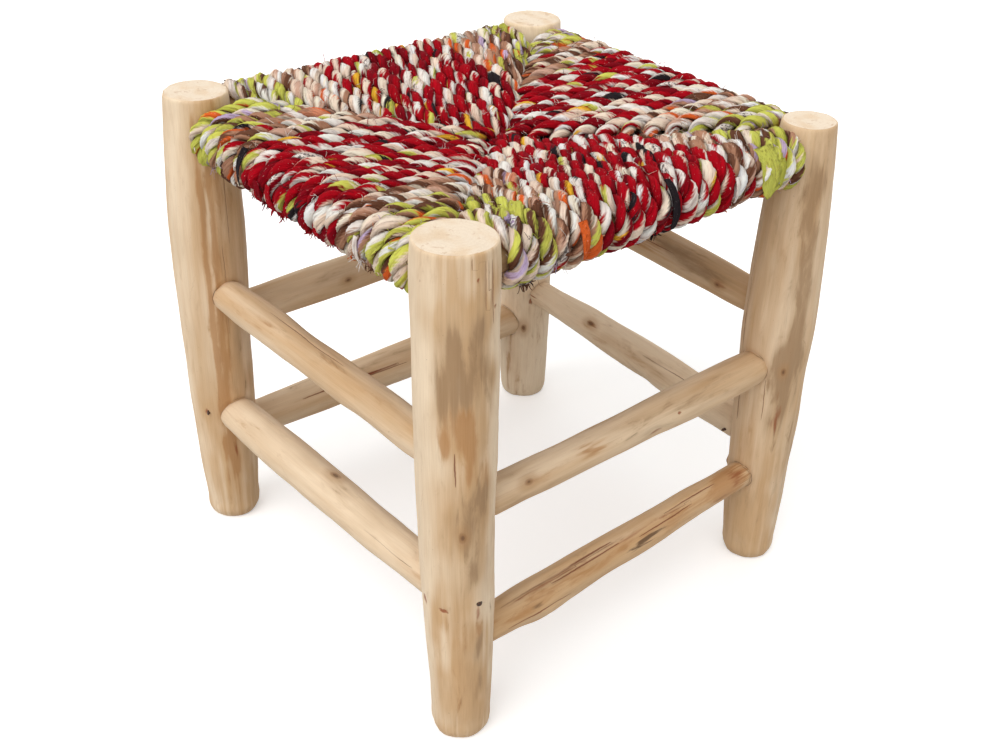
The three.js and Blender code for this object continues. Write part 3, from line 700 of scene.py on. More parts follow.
def peel_flats(seed, angles, along, radius, length):
    """Wood that the knife took off in long flat cuts, as a depth below the round."""
    rng = np.random.default_rng(seed)
    total = np.zeros_like(along)
    for _ in range(int(length / flat_spacing)):
        half_length = rng.uniform(*flat_half_lengths)
        reach = (along - rng.uniform(0, length)) / half_length
        depth = radius * rng.uniform(*flat_depths) * np.clip(1 - reach**2, 0, 1)
        turn = np.clip(np.cos(turn_between(angles, rng.uniform(0, 360))), flat_turn_limit, 1)
        total = np.maximum(total, radius - (radius - depth) / turn)
    return total


# Unevenness of a pole, from bulges to fine lumps: height, swings round it, length and shift in the noise
relief_waves = [(0.0008, 1.3, 0.045, 7), (0.0003, 3, 0.03, 3), (0.00012, 9, 0.012, 0)]
# Dip where a rung meets a leg: its depth, how far it spreads and where it ends
joint_dip = 0.0006
joint_spread = 0.0016
joint_reach = 0.02
beyond_joints = 0.05
# Sawn ends: relief fades towards the middle, and the cut itself is a little uneven
cut_edge_fade = 6
cut_unevenness = 0.0005
cut_lump = 0.013
# Least radius that marks are laid out on, as a share of the greatest, and shift of the grain for each seed
least_mark_radius = 0.6
grain_shift = 0.37


def pole(name, centres, across, beside, radii, along, length, cut, gap_of, material, columns):
    """Pole of peeled wood from rings of points, with its marks as relief and as named values."""
    mark = marks[name]
    seed = mark["seed"]
    angles, along = np.meshgrid(round_angles(columns), along)
    base = np.repeat(radii[:, None], columns, 1)
    places = (angles, along, np.maximum(base, least_mark_radius * base.max()), length)

    def spread(kind):
        return patches(mark.get(kind, []), *places)

    rim = np.stack([np.cos(angles), np.sin(angles)])
    relief = np.zeros_like(along)
    for k, (height, turns, run, shift) in enumerate(relief_waves):
        relief += height * noise(rim[0] * turns + shift, rim[1] * turns, along / run, seed + k)
    relief -= peel_flats(seed, *places)
    knots, swelling = knot_places(mark["knots"], *places)
    offset, width, groove = crack_places(mark["cracks"], *places, seed)
    relief += swelling - groove - spread("dents")
    side = np.where(cut > 0.5, (radii / radii.max()) ** cut_edge_fade, 1.0)[:, None]
    ray = across[:, None] * rim[0][..., None] + beside[:, None] * rim[1][..., None]
    rough = centres[:, None] + ray * (base + relief * side)[..., None]
    gap = gap_of(rough)
    dip = np.where(gap > 0, joint_dip * np.exp(-((gap / joint_spread) ** 2)), joint_dip)
    dip = np.where(gap < joint_reach, dip, 0)
    points = rough - ray * (dip * side)[..., None]
    uneven = cut_unevenness * noise(points[..., 0] / cut_lump, points[..., 1] / cut_lump, 0 * along, seed + 3)
    points[..., 2] += np.where(cut[:, None] * along > length / 2, uneven, 0)
    values = {
        **{stain: spread(stain + "s") for stain in ("grey", "honey", "scar", "smudge")},
        "crack_offset": offset, "crack_width": width, "gap": gap, "cut": np.repeat(cut[:, None], columns, 1),
        "tone": mark["tone"] + spread("tans"),
    }
    layers = []
    for layer, grid in values.items():
        layers.append((layer, np.concatenate([grid.ravel(), [grid[0, 0], grid[-1, 0]]])))
    grain = np.stack([rim[0] * base, rim[1] * base, along + seed * grain_shift], -1)
    for layer, grid in (("grain", grain), ("knot", knots)):
        on_axis = [end * [0, 0, 1] for end in (grid[0, :1], grid[-1, :1])]
        layers.append((layer, np.concatenate([grid.reshape(-1, 3), *on_axis])))
    points = np.concatenate([points.reshape(-1, 3), centres[[0, -1]]])
    piece = mesh_object(name + "_wood", points, capped_faces(len(centres), columns), material, layers)
    settle(piece, name)


leg_columns = 132
leg_step = 0.0016
cap_rings = 14
edge_round = 0.0016
edge_steps = 4


def leg_piece(name, material):
    """Leg: a sawn foot, the pole and a sawn top with its edge worn round."""
    rim_share = np.linspace(0, 1, cap_rings + 1)[1:-1]
    heights = np.arange(edge_round, stool_height - edge_round, leg_step)
    bend = np.linspace(0, math.pi / 2, edge_steps + 1)
    foot_edge = leg_radius(name, np.array([0.0]))[0] - edge_round * (1 - np.sin(bend[:-1]))
    foot_rise = edge_round * (1 - np.cos(bend[:-1]))
    top_edge = leg_radius(name, np.array([stool_height]))[0] - edge_round * (1 - np.cos(bend[1:]))
    top_rise = stool_height - edge_round * (1 - np.sin(bend[1:]))
    stretches = [
        (foot_edge[0] * rim_share, 0 * rim_share, 1), (foot_edge, foot_rise, 0),
        (leg_radius(name, heights), heights, 0), (top_edge, top_rise, 0),
        (top_edge[-1] * rim_share[::-1], 0 * rim_share + stool_height, 1),
    ]
    radii = np.concatenate([radius for radius, rise, flat in stretches])
    rise = np.concatenate([rise for radius, rise, flat in stretches])
    cut = np.concatenate([0 * rise + flat for radius, rise, flat in stretches])
    cut[[len(rim_share), -len(rim_share) - 1]] = 1
    bars = []
    for bar in rungs:
        if name in bar_legs(bar):
            end = bar_legs(bar).index(name)
            ends = bar_ends(bar)
            share = leg_diameter / 2 / np.linalg.norm(ends[1] - ends[0])
            radius = rung_radius(bar, np.array([end + (1 - 2 * end) * share]))[0]
            bars.append((ends[end], ends[1 - end], radius))

    def gap_of(points):
        least = np.full(points.shape[:-1], beyond_joints)
        for near, far, radius in bars:
            axis = unit(far - near)
            reach = (points - near) @ axis
            apart = np.linalg.norm(points - near - reach[..., None] * axis, axis=-1) - radius
            least = np.where((reach > 0) & (apart < least), apart, least)
        return least

    level = np.ones(len(rise))[:, None]
    pole("leg_" + name, leg_centre(name, rise), level * [1, 0, 0], level * [0, 1, 0], radii, rise,
         stool_height, cut, gap_of, material, leg_columns)


rung_columns = 84
rung_step = 0.0016
rung_sink = 0.005


def rung_piece(name, material):
    """Rung: a pole that ends a little inside its two legs."""
    start, end = bar_ends(name)
    length = np.linalg.norm(end - start)
    axis = unit(end - start)
    first, last = (leg_radius(leg, np.array([point[2]]))[0] - rung_sink
                   for leg, point in zip(bar_legs(name), (start, end)))
    along = np.arange(first, length - last, rung_step)
    share = along / length
    up = unit(np.array([0, 0, 1.0]) - axis * axis[2])
    side = np.cross(axis, up)
    bow = rungs[name]["bow"] * rung_diameter * np.sin(math.pi * share)
    centres = start + along[:, None] * axis + bow[:, None] * up

    def gap_of(points):
        least = np.full(points.shape[:-1], beyond_joints)
        for leg in bar_legs(name):
            centre = leg_centre(leg, points[..., 2])
            apart = np.linalg.norm(points[..., :2] - centre[..., :2], axis=-1)
            least = np.minimum(least, apart - leg_radius(leg, points[..., 2]))
        return least

    level = np.ones(len(along))[:, None]
    pole(name, centres, level * up, level * side, rung_radius(name, share), along, length,
         np.zeros(len(along)), gap_of, material, rung_columns)


# Nail: columns, profile of the head in shares of its radius and depths behind its front, and its crown
nail_columns = 20
nail_head_profile = [
    (0.3, -0.0004), (0.62, -0.00036), (0.86, -0.0002), (1.0, 0.0001), (0.98, 0.0006), (0.8, 0.0009),
]
nail_head_crown = 0.00045
nail_shank_start = 0.001
# Unevenness of the nail as shares of its radius, and its turn from ring to ring
nail_oval, nail_ripple, nail_ripple_turn = 0.05, 0.03, 0.4


def nail_piece(name, material):
    """Nail with a hammered head, its shank running through the leg into the rung's tenon."""
    nail = nails[name]
    leg = name.replace("nail_", "")
    ends = bar_ends(nail["rung"])
    near, far = ends[nail["end"]], ends[1 - nail["end"]]
    height = near[2] + nail["rise"] * rung_diameter
    out = unit(np.array([*nail["facing"], 0.0]))
    radius = leg_radius(leg, np.array([height]))[0]
    head = leg_centre(leg, np.array(height)) + out * (radius + nail_head_rise)
    aim = unit(near + unit(far - near) * nail_aim_depth - head)
    beside = unit(np.cross(aim, [0, 0, 1.0]))
    across = np.cross(beside, aim)
    theta = round_angles(nail_columns)
    ring = across * np.cos(theta)[:, None] + beside * np.sin(theta)[:, None]
    rings = [(share * nail_head_diameter / 2, depth) for share, depth in nail_head_profile]
    for depth in (nail_shank_start, nail_length - nail_shank_diameter):
        rings.append((nail_shank_diameter / 2, depth))
    rows = []
    for k, (radius, depth) in enumerate(rings):
        ripple = nail_ripple * np.sin(5 * theta + k * nail_ripple_turn)
        uneven = 1 + nail_oval * np.sin(2 * theta + len(name)) + ripple
        rows.append(head + aim * depth + ring * (radius * uneven)[:, None])
    points = np.concatenate([*rows, [head - aim * nail_head_crown, head + aim * nail_length]])
    piece = mesh_object(name + "_steel", points, capped_faces(len(rows), nail_columns), material)
    settle(piece, name)


# Seat cord: the route of each circuit, from the same shares as the solid
cord_diameter = 0.010
cord_leg_gap = 0.0006
cord_spacing = 0.0113
fit_clearance = 0.0003
seat_sag = 0.012
centre_thinning = 0.0034
# Corners in the order of the winding: leg, rail that the cord comes over and rail that it goes on over
corners = [
    ("front_left", "seat_rail_front", "seat_rail_left"),
    ("front_right", "seat_rail_right", "seat_rail_front"),
    ("back_right", "seat_rail_back", "seat_rail_right"),
    ("back_left", "seat_rail_left", "seat_rail_back"),
]
# Points through the weave: pitches to the two sides, and wrap radii above the middle of the weave
arrive_shares = [(-0.37, 0.55, -0.21), (0.13, 0, 0.965)]
dive_shares = [(0.12, -1.03, -0.83), (-0.4, -0.4, 0), (-1.03, 0.12, 0.83)]
leave_shares = [(0, 0.13, -0.965), (0.55, -0.37, 0.21)]
last_arrive_shares = [(-0.37, 0.55, 0.25), (0, 0, 0.965)]
last_leave_shares = [(0, 0, -0.965)]
wrap_reach = (leg_spacing - leg_diameter) / 2 - cord_leg_gap - cord_diameter / 2
circuits = int(min(wrap_reach) / cord_spacing + 0.5)
wrap_pitch = wrap_reach / (circuits - 0.5)
wrap_radius = rail_diameter / 2 + fit_clearance + cord_diameter / 2
# Points of the half turn round a rail: the first and last lie on the round, the others a little outside it
wrap_count = 5
wrap_step = math.pi / (wrap_count - 1)
cord_runs = {"seat_cord_outer": (0, 3), "seat_cord_middle": (3, 6), "seat_cord_inner": (6, circuits)}
crowded_circuits = 4
ply_offset = 0.00245
ply_radius = 0.0037

# Kinds of point along the cord: deep in the weave, squeezed at a crossing, or free round a rail
inside_weave, crossing_weave, round_rail = 0, 1, 2


def rail_at(name, at):
    start, end = bar_ends(name)
    along = end - start
    axis = 0 if abs(along[0]) > abs(along[1]) else 1
    return start + along * (at[axis] - start[axis]) / along[axis]


def leg_side_gap(leg, axis):
    """Room between the outermost wrap on a rail and the side of the leg that the rail runs into."""
    height = np.array(rail_height)
    centre = leg_centre(leg, height) - spacing_centre
    side = abs(centre[axis]) - leg_radius(leg, height[None])[0]
    return max(side - wrap_reach[axis] - ply_offset - ply_radius, 0)


def wrap_points():
    """Half turn of cord over a rail, from the top to the bottom, as steps away from the seat and up."""
    steps = []
    for k in range(wrap_count):
        radius = wrap_radius if k in (0, wrap_count - 1) else wrap_radius / math.cos(wrap_step / 2)
        steps.append((radius * math.sin(k * wrap_step), radius * math.cos(k * wrap_step)))
    return steps


def corner_points(circuit, k):
    """Points of the cord at one corner of one circuit, each with its kind."""
    turn_cos, turn_sin = round(math.cos(k * math.pi / 2)), round(math.sin(k * math.pi / 2))
    leg, arrive_rail, leave_rail = corners[k]
    side = np.array(legs[leg]["side"])
    at = side * wrap_pitch * (circuits - 0.5 - circuit) + spacing_centre[:2]
    pitch = wrap_pitch if k % 2 == 0 else wrap_pitch[::-1]
    inward = circuit / (circuits - 1)
    middle = rail_height - seat_sag * inward
    layer = wrap_radius - centre_thinning * inward

    def place(x, y, z, kind):
        return (at[0] + turn_cos * x - turn_sin * y, at[1] + turn_sin * x + turn_cos * y, z, kind)

    def crossings(shares, kinds):
        return [place(x * pitch[0], y * pitch[1], middle + z * layer, kind)
                for (x, y, z), kind in zip(shares, kinds)]

    arrive = rail_at(arrive_rail, at)
    leave = rail_at(leave_rail, at)
    arrive_axis, leave_axis = (1, 0) if k % 2 == 0 else (0, 1)
    arrive_reach = abs(arrive[arrive_axis] - at[arrive_axis])
    leave_reach = abs(leave[leave_axis] - at[leave_axis])

    def wrap(reach_x, reach_y, rail, axis):
        crowd = leg_side_gap(leg, axis) * max(1 - circuit / crowded_circuits, 0) * side[axis]
        shift = (crowd, 0) if axis == 0 else (0, crowd)
        points = []
        for out, up in wrap_points():
            turned = place(reach_x and -reach_x - out, reach_y and -reach_y - out, rail[2] + up, round_rail)
            points.append((turned[0] + shift[0], turned[1] + shift[1], *turned[2:]))
        return points

    arrive_wrap = wrap(0, arrive_reach, arrive, leave_axis)
    leave_wrap = wrap(leave_reach, 0, leave, arrive_axis)
    arriving, leaving = arrive_shares, leave_shares
    if circuit == circuits - 1:
        arriving = last_arrive_shares if k == 0 else last_arrive_shares[1:]
        leaving = last_leave_shares
    arriving_kinds = (inside_weave, crossing_weave)[-len(arriving):]
    dive_kinds = (crossing_weave, inside_weave, crossing_weave)
    leaving_kinds = (crossing_weave, inside_weave)[:len(leaving)]
    return (crossings(arriving, arriving_kinds) + arrive_wrap + crossings(dive_shares, dive_kinds)
            + leave_wrap + crossings(leaving, leaving_kinds))


def knot_point(circuit):
    """Middle of the hidden run that leads into a circuit, where two cords are tied."""
    before = np.array(corner_points(circuit - 1, 3)[-1])
    after = np.array(corner_points(circuit, 0)[0])
    return (before + after) / 2


def cord_path(first, end):
    path = [knot_point(first)] if first > 0 else []
    for circuit in range(first, end):
        for k in range(4):
            path += corner_points(circuit, k)
    if end < circuits:
        path.append(knot_point(end))
    return np.array(path)


path_step = 0.001
corner_softness = 0.0042


def soften(values, width):
    """Rounds the corners of evenly spaced points, and keeps the two ends where they are."""
    reach = int(3 * width / path_step)
    weights = np.exp(-0.5 * (np.arange(-reach, reach + 1) * path_step / width) ** 2)
    weights /= weights.sum()
    before = 2 * values[0] - values[reach:0:-1]
    after = 2 * values[-1] - values[-2:-reach - 2:-1]
    padded = np.concatenate([before, values, after])
    return np.stack([np.convolve(padded[:, axis], weights, "valid") for axis in range(values.shape[1])], -1)


def soft_path(path):
    """Evenly spaced points along a path with its corners rounded, and how hidden each of them is."""
    steps = np.linalg.norm(np.diff(path[:, :3], axis=0), axis=1)
    reach = np.concatenate([[0], np.cumsum(steps)])
    at = np.arange(0, reach[-1], path_step)
    points = np.stack([np.interp(at, reach, path[:, axis]) for axis in range(3)], -1)
    squeezed = reach[path[:, 3] < round_rail]
    nearest = np.abs(at[:, None] - squeezed[None, :]).min(1)
    kinds = path[:, 3].astype(int)
    k = np.clip(np.searchsorted(reach, at) - 1, 0, len(kinds) - 2)
    hidden = (kinds[k] == inside_weave) & (kinds[k + 1] == inside_weave)
    return soften(points, corner_softness), nearest, hidden


# Colours of the rags, and how often each comes in the two plies of each cord
rag_colors = {
    "crimson": linear(174, 6, 26), "wine": linear(134, 6, 24), "cream": linear(255, 231, 210),
    "white": linear(255, 246, 238), "gold": linear(240, 186, 56), "charcoal": linear(38, 32, 36),
    "lime": linear(212, 214, 98), "leaf": linear(188, 190, 78), "brown": linear(108, 70, 52),
    "taupe": linear(184, 137, 110), "mauve": linear(216, 174, 152), "orange": linear(230, 104, 46),
    "salmon": linear(230, 152, 118), "lilac": linear(206, 184, 218), "print": linear(246, 236, 228),
}
rag_shares = {
    "seat_cord_outer": (
        {"lime": 12, "leaf": 2, "brown": 3, "white": 2, "cream": 2, "orange": 0.7, "lilac": 0.6, "taupe": 1},
        {"brown": 5, "white": 4.5, "cream": 4, "lime": 6.5, "lilac": 1.6, "orange": 1.4, "print": 0.8,
         "taupe": 2.5},
    ),
    "seat_cord_middle": (
        {"taupe": 7, "brown": 6, "orange": 1.7, "salmon": 1.2, "cream": 4, "white": 2, "mauve": 3},
        {"cream": 6, "white": 6, "mauve": 2, "taupe": 3, "lime": 2.2, "orange": 1.6, "brown": 4, "print": 0.8,
         "crimson": 1.6, "lilac": 0.6, "charcoal": 0.5},
    ),
    "seat_cord_inner": (
        {"crimson": 18, "wine": 7, "cream": 2, "gold": 0.5, "charcoal": 0.9, "white": 1.5},
        {"cream": 7, "white": 6, "crimson": 7.5, "gold": 0.9, "charcoal": 1.1, "lime": 1.4, "print": 1,
         "wine": 2.5},
    ),
}
# How each cord's rags lie: laps round a ply, spread of a strip's length, and how often a strip spans the laps
rag_laps = named_rows(("laps", "strip", "wide"), {
    "seat_cord_outer": (5, 0.010, 0.4),
    "seat_cord_middle": (6, 0.007, 0.3),
    "seat_cord_inner": (5, 0.009, 0.42),
})
strip_shape, shortest_strip = 2.0, 0.008
rag_shades = (0.9, 1.13)
palest_rag = 0.97
# Twist of the plies, how much its pitch varies and over which length, and how the whole cord wanders
twist_pitch = 0.0285
twist_variation, twist_run = 0.22, 0.09
cord_wander, wander_run = 0.0010, 0.03
# Loss of girth where the cord is squeezed, and how far that reaches
squeeze_share, squeeze_length = 0.2, 0.009
# Rings of a ply, closer together where it shows, and the most that go into one mesh
ply_sides = 24
ply_ring_step = 0.0014
ply_hidden_step = 0.0045
rings_each_piece = 3900
# Girth of a ply: range from strip to strip, length over which they blend, and a slow wave on top
ply_girths, girth_blend = (0.72, 1.2), 0.004
girth_wave, girth_run = 0.07, 0.014
ply_width_share = 1.15
ply_inner_flat = 0.10
# Turning of the cloth about the ply: one full radian in so many metres, and a slow wave on top
lap_turn_length = 0.013
spin_wave, spin_run = 1.9, 0.05
# Relief of the cloth in shares of the ply's radius: fine folds, lumps, laps that overlap and deep creases
fold_count, fold_height, fold_drift = 5, 0.045, 2.5
lump_height, lump_turns, lump_run = 0.1, 1.8, 0.005
lap_height, lap_edge, lap_drift, lap_run = 0.2, 0.86, 0.5, 0.012
lap_middle, lap_change = 0.6, 0.4
crease_count, crease_depth, crease_width, crease_drift, crease_run = 3, 0.12, 0.22, 1.8, 0.018
drift_run = 0.02
# Torn ends of the strips: swings round the ply, unevenness and point, then the drift of the laps' edges
tear_turns, tear_height, tear_run, tear_point = 2.5, 0.0018, 0.005, 0.009
edge_height, edge_run = 0.09, 0.003
# Painted shade in the groove between the two plies, and where across a ply it begins and is full
painted_groove_shade = 0.36
groove_start, groove_full = 0.45, -0.15
# Longest shift of the pattern along a ply, a direction that no cord sets out in, and slack for rounding
pattern_shift = 20
start_across = (0.3, 0.2, 1.0)
rounding = 1e-9


def strip_starts(length, spread, rng):
    """Places along a ply where one strip of rag ends and the next begins."""
    starts = [0.0]
    while starts[-1] < length:
        starts.append(starts[-1] + rng.gamma(strip_shape, spread) + shortest_strip)
    return np.array(starts)


def strip_at(starts, places):
    """Number of the strip that covers each place."""
    return np.searchsorted(starts, places, side="right") - 1


def pick_rags(length, shares, lie, rng):
    """Strips of rag in each lap of a ply: where each begins, its colour and its shade."""
    names = list(shares)
    weights = np.array([shares[name] for name in names], float)
    weights /= weights.sum()
    palette = np.array([rag_colors[name][:3] + (0.0 if name == "print" else 1.0,) for name in names])
    wide_starts = strip_starts(length, lie["strip"], rng)
    wide = rng.choice(len(names), len(wide_starts), p=weights)
    laps = []
    for _ in range(lie["laps"]):
        starts = strip_starts(length, lie["strip"], rng)
        own = rng.choice(len(names), len(starts), p=weights)
        follows = rng.random(len(starts)) < lie["wide"]
        chosen = np.where(follows, wide[strip_at(wide_starts, starts)], own)
        colors = palette[chosen]
        colors[:, :3] = np.minimum(colors[:, :3] * rng.uniform(*rag_shades, (len(starts), 1)), palest_rag)
        laps.append((starts, colors))
    return laps


def carried_frame(points):
    """Directions across a path that follow it without turning about it."""
    tangent = unit(np.gradient(points, axis=0))
    normal = np.zeros_like(points)
    normal[0] = unit(np.cross(start_across, tangent[0]))
    for i in range(1, len(points)):
        carried = normal[i - 1] - tangent[i] * (normal[i - 1] @ tangent[i])
        normal[i] = carried / math.sqrt(carried @ carried)
    return normal, np.cross(tangent, normal)


def kept_rings(hidden):
    """Places along the cord that get a ring of points: fewer where the weave hides it."""
    rings, last = [0], 0.0
    for i in range(1, len(hidden)):
        if i * path_step - last >= (ply_hidden_step if hidden[i] else ply_ring_step) - rounding:
            rings.append(i)
            last = i * path_step
    return np.array(rings)


def cloth_relief(turned, rim, at, grid_at, lap_count, rng):
    """Folds of the cloth in shares of the ply's radius, and the place of each point across the laps."""
    def drift(size, run=drift_run):
        return size * series(at, run, rng)[:, None]

    folds = fold_height * np.sin(fold_count * turned + drift(fold_drift))
    folds += lump_height * noise(rim[0] * lump_turns, rim[1] * lump_turns, grid_at / lump_run,
                                 int(rng.integers(1e6)))
    lap_place = turned * lap_count / (2 * math.pi) + drift(lap_drift)
    lap = lap_place % 1
    slope = np.where(lap < lap_edge, lap / lap_edge, (1 - lap) / (1 - lap_edge)) - 0.5
    folds += lap_height * (lap_middle + drift(lap_change, lap_run)) * slope
    for k in range(crease_count):
        crease = turned - 2 * math.pi * k / crease_count - drift(crease_drift, crease_run)
        across = (crease + math.pi) % (2 * math.pi) - math.pi
        folds -= crease_depth * np.exp(-(across / crease_width) ** 2)
    return folds, lap_place


def cloth_tint(laps, lap_place, rim, grid_theta, grid_at, rng):
    """Colour of each point: each lap is a strip of rag with pointed torn ends, with painted shade in the
    groove between the plies.
    """
    def uneven(height, run):
        swing = noise(rim[0] * tear_turns, rim[1] * tear_turns, grid_at / run, int(rng.integers(1e6)))
        return height * swing

    tear = uneven(tear_height, tear_run) + tear_point * np.abs(lap_place % 1 - 0.5)
    lap_number = np.floor(lap_place + uneven(edge_height, edge_run)).astype(int) % len(laps)
    tint = np.zeros((*grid_at.shape, 4))
    for k, (starts, colors) in enumerate(laps):
        strip = np.clip(strip_at(starts, grid_at + tear), 0, len(starts) - 1)
        tint = np.where((lap_number == k)[..., None], colors[strip], tint)
    # Painted shade: darkens the side of each ply that lies in the groove next to the other ply
    groove = np.clip((groove_start - np.cos(grid_theta)) / (groove_start - groove_full), 0, 1)
    tint[..., :3] *= (1 - painted_groove_shade * groove)[..., None]
    return tint


def ply_rings(points, outward, squeeze, hidden, shares, lie, rng):
    """Rings of points of one ply, with the ply's axis, its colours and the places along it."""
    along = np.arange(len(points)) * path_step
    centre = points + outward * (ply_offset * squeeze)[:, None]
    heading = unit(np.gradient(centre, axis=0))
    out = unit(outward - heading * (outward * heading).sum(1)[:, None])
    beside = np.cross(heading, out)
    laps = pick_rags(along[-1], shares, lie, rng)
    starts = laps[0][0]
    girth = rng.uniform(*ply_girths, len(starts))[strip_at(starts, along)]
    thick = soften(girth[:, None], girth_blend)[:, 0] * (1 + girth_wave * series(along, girth_run, rng))
    radius = ply_radius * squeeze * thick
    keep = kept_rings(hidden)
    centre, out, beside, radius, at = (grid[keep] for grid in (centre, out, beside, radius, along))
    spin = spin_wave * series(at, spin_run, rng) + at / lap_turn_length
    grid_theta, grid_at = np.meshgrid(round_angles(ply_sides), at)
    turned = grid_theta + spin[:, None]
    rim = (np.cos(turned), np.sin(turned))
    folds, lap_place = cloth_relief(turned, rim, at, grid_at, lie["laps"], rng)
    flat = 1 - ply_inner_flat * np.clip(-np.cos(grid_theta), 0, 1)
    girths = radius[:, None] * (1 + folds) * flat
    ring = out[:, None] * (np.cos(grid_theta) * girths)[..., None]
    ring = ring + beside[:, None] * (np.sin(grid_theta) * girths * ply_width_share)[..., None]
    tint = cloth_tint(laps, lap_place, rim, grid_theta, grid_at, rng)
    place = np.stack([rim[0] * ply_radius, rim[1] * ply_radius, grid_at + rng.uniform(0, pattern_shift)], -1)
    return centre, centre[:, None] + ring, tint, place


def cord_pieces(name, material, rng):
    """The two plies of one cord, twisted about the path that they share."""
    path, nearest, hidden = soft_path(cord_path(*cord_runs[name]))
    along = np.arange(len(path)) * path_step
    for axis in range(3):
        path[:, axis] += cord_wander * series(along, wander_run, rng)
    normal, binormal = carried_frame(path)
    pitch = twist_pitch * (1 + twist_variation * series(along, twist_run, rng))
    phase = rng.uniform(0, 2 * math.pi) + np.cumsum(2 * math.pi * path_step / pitch)
    squeeze = 1 - squeeze_share * np.exp(-((nearest / squeeze_length) ** 2))
    outward = normal * np.cos(phase)[:, None] + binormal * np.sin(phase)[:, None]
    for ply, sign in ((0, 1), (1, -1)):
        shares, lie = rag_shares[name][ply], rag_laps[name]
        centre, *grids = ply_rings(path, sign * outward, squeeze, hidden, shares, lie, rng)
        parts = math.ceil(len(centre) / rings_each_piece)
        bounds = np.linspace(0, len(centre) - 1, parts + 1).astype(int)
        for part in range(parts):
            first, last = bounds[part], bounds[part + 1]
            rows, tint, place = (
                np.concatenate([grid[first:last + 1].reshape(-1, grid.shape[-1]), grid[[first, last], 0]])
                for grid in grids)
            rows[-2:] = centre[[first, last]]
            piece = mesh_object(f"{name}_ply_{ply + 1}_part_{part + 1}", rows,
                                capped_faces(last - first + 1, ply_sides), material, [("ply", place)], tint)
            settle(piece, name)
    return path, hidden


# Threads and tatters: how many stand off each cord, and in which colours
fray_counts = {"seat_cord_outer": (330, 190), "seat_cord_middle": (360, 230), "seat_cord_inner": (1150, 640)}
# Most threads at one root and how far apart they start, how much more often tatters come below the rails,
# and the share of a ply's radius at which strands are rooted
fray_cluster = 5
cluster_spread = 0.0007
underside_bias = 3.0
strand_seat = 0.7
fray_rags = {
    "seat_cord_outer": ("white", "lime", "cream", "brown", "lilac"),
    "seat_cord_middle": ("white", "cream", "taupe", "salmon", "brown"),
    "seat_cord_inner": ("white", "cream", "white", "crimson", "crimson", "wine", "charcoal"),
}
# Ragged places: where, colour, how many tatters, their length and half their width
tufts = {
    "seat_cord_outer": [
        ((0.163, -0.109, 0.338), "brown", 60, 0.008, 0.00045),
        ((0.163, -0.109, 0.338), "charcoal", 8, 0.006, 0.0004),
        ((0.153, -0.113, 0.378), "lilac", 10, 0.006, 0.0032),
        ((0.174, 0.098, 0.352), "lime", 5, 0.010, 0.0016),
    ],
    "seat_cord_middle": [
        ((0.082, -0.172, 0.338), "white", 12, 0.010, 0.0005),
        ((0.092, -0.172, 0.339), "brown", 12, 0.008, 0.0006),
        ((0.070, -0.172, 0.337), "orange", 6, 0.007, 0.0008),
    ],
    "seat_cord_inner": [
        ((-0.018, -0.172, 0.331), "crimson", 26, 0.009, 0.0011),
        ((-0.036, -0.172, 0.331), "wine", 12, 0.007, 0.0009),
        ((-0.056, -0.172, 0.333), "charcoal", 14, 0.007, 0.0007),
        ((0.018, -0.172, 0.333), "crimson", 12, 0.007, 0.0009),
        ((0.044, -0.172, 0.333), "crimson", 12, 0.007, 0.0009),
        ((0.169, 0.068, 0.348), "white", 18, 0.010, 0.0003),
        ((0.169, 0.030, 0.344), "crimson", 9, 0.006, 0.0009),
        ((0.169, -0.010, 0.342), "charcoal", 8, 0.007, 0.0009),
    ],
}
# Torn strips over the wraps: rail, share of its length, degrees above level where a strip starts and where
# it leaves the wraps to hang, colour, length and half its width
flaps = {
    "seat_cord_outer": [
        ("seat_rail_right", 0.795, 60, 2, "lime", 0.036, 0.0095),
        ("seat_rail_right", 0.83, 30, 5, "leaf", 0.018, 0.004),
    ],
    "seat_cord_middle": [
        ("seat_rail_front", 0.776, 20, -60, "white", 0.018, 0.0016),
        ("seat_rail_right", 0.26, 40, -60, "orange", 0.024, 0.003),
    ],
    "seat_cord_inner": [
        ("seat_rail_right", 0.69, 25, -50, "white", 0.018, 0.0022),
        ("seat_rail_right", 0.505, 60, -80, "charcoal", 0.034, 0.003),
        ("seat_rail_front", 0.32, 50, -50, "charcoal", 0.026, 0.003),
        ("seat_rail_front", 0.445, 15, -70, "crimson", 0.020, 0.003),
        ("seat_rail_front", 0.40, 10, -60, "wine", 0.018, 0.0025),
    ],
}
# Strands: points along one, sides of a thread and of a tatter, depth of the root, droop and thinning
fray_steps = 9
thread_sides, tatter_sides = 3, 6
strand_root = 0.0012
strand_droop = 0.04
strand_thinning = 0.75
# Thin strands curl more: half width at which the curl is as strong as the heading, its limit and its least
curl_width, curl_limit, least_curl = 0.00005, 0.35, 0.05
# Threads: half widths, and for their lengths the shape and spread of the draw, the least and the most
thread_widths = (0.00011, 0.00026)
thread_length_shape, thread_length_spread, shortest_thread, longest_thread = 2.0, 0.0026, 0.0025, 0.010
# Tatters: half widths, lengths and thickness
tatter_widths = (0.0005, 0.0015)
tatter_lengths = (0.003, 0.0065)
tatter_thickness = 0.00022
# Loose strands: range of the part that stands off, scatter and curl
loose_rise, loose_scatter, loose_curl = (0.3, 1.3), 0.3, 0.3
# Tufts: reach along the path in steps, sizes, droop, scatter, slant along the cord and curl
tuft_reach, tuft_sizes = 5, (0.5, 1.15)
tuft_droop, tuft_scatter, tuft_slant, tuft_curl = 1.1, 0.3, 0.35, 0.12
# Flaps: rows and columns of points, thickness, height and width of the ruffles, taper and ragged sides
flap_steps = 20
flap_columns = 8
flap_thickness = 0.0006
flap_ruffle = 0.0012
ruffle_width = 0.0016
ruffle_turn = 0.15
flap_taper = 0.7
flap_ragged = (0.88, 1.06)
flap_lie = 0.8


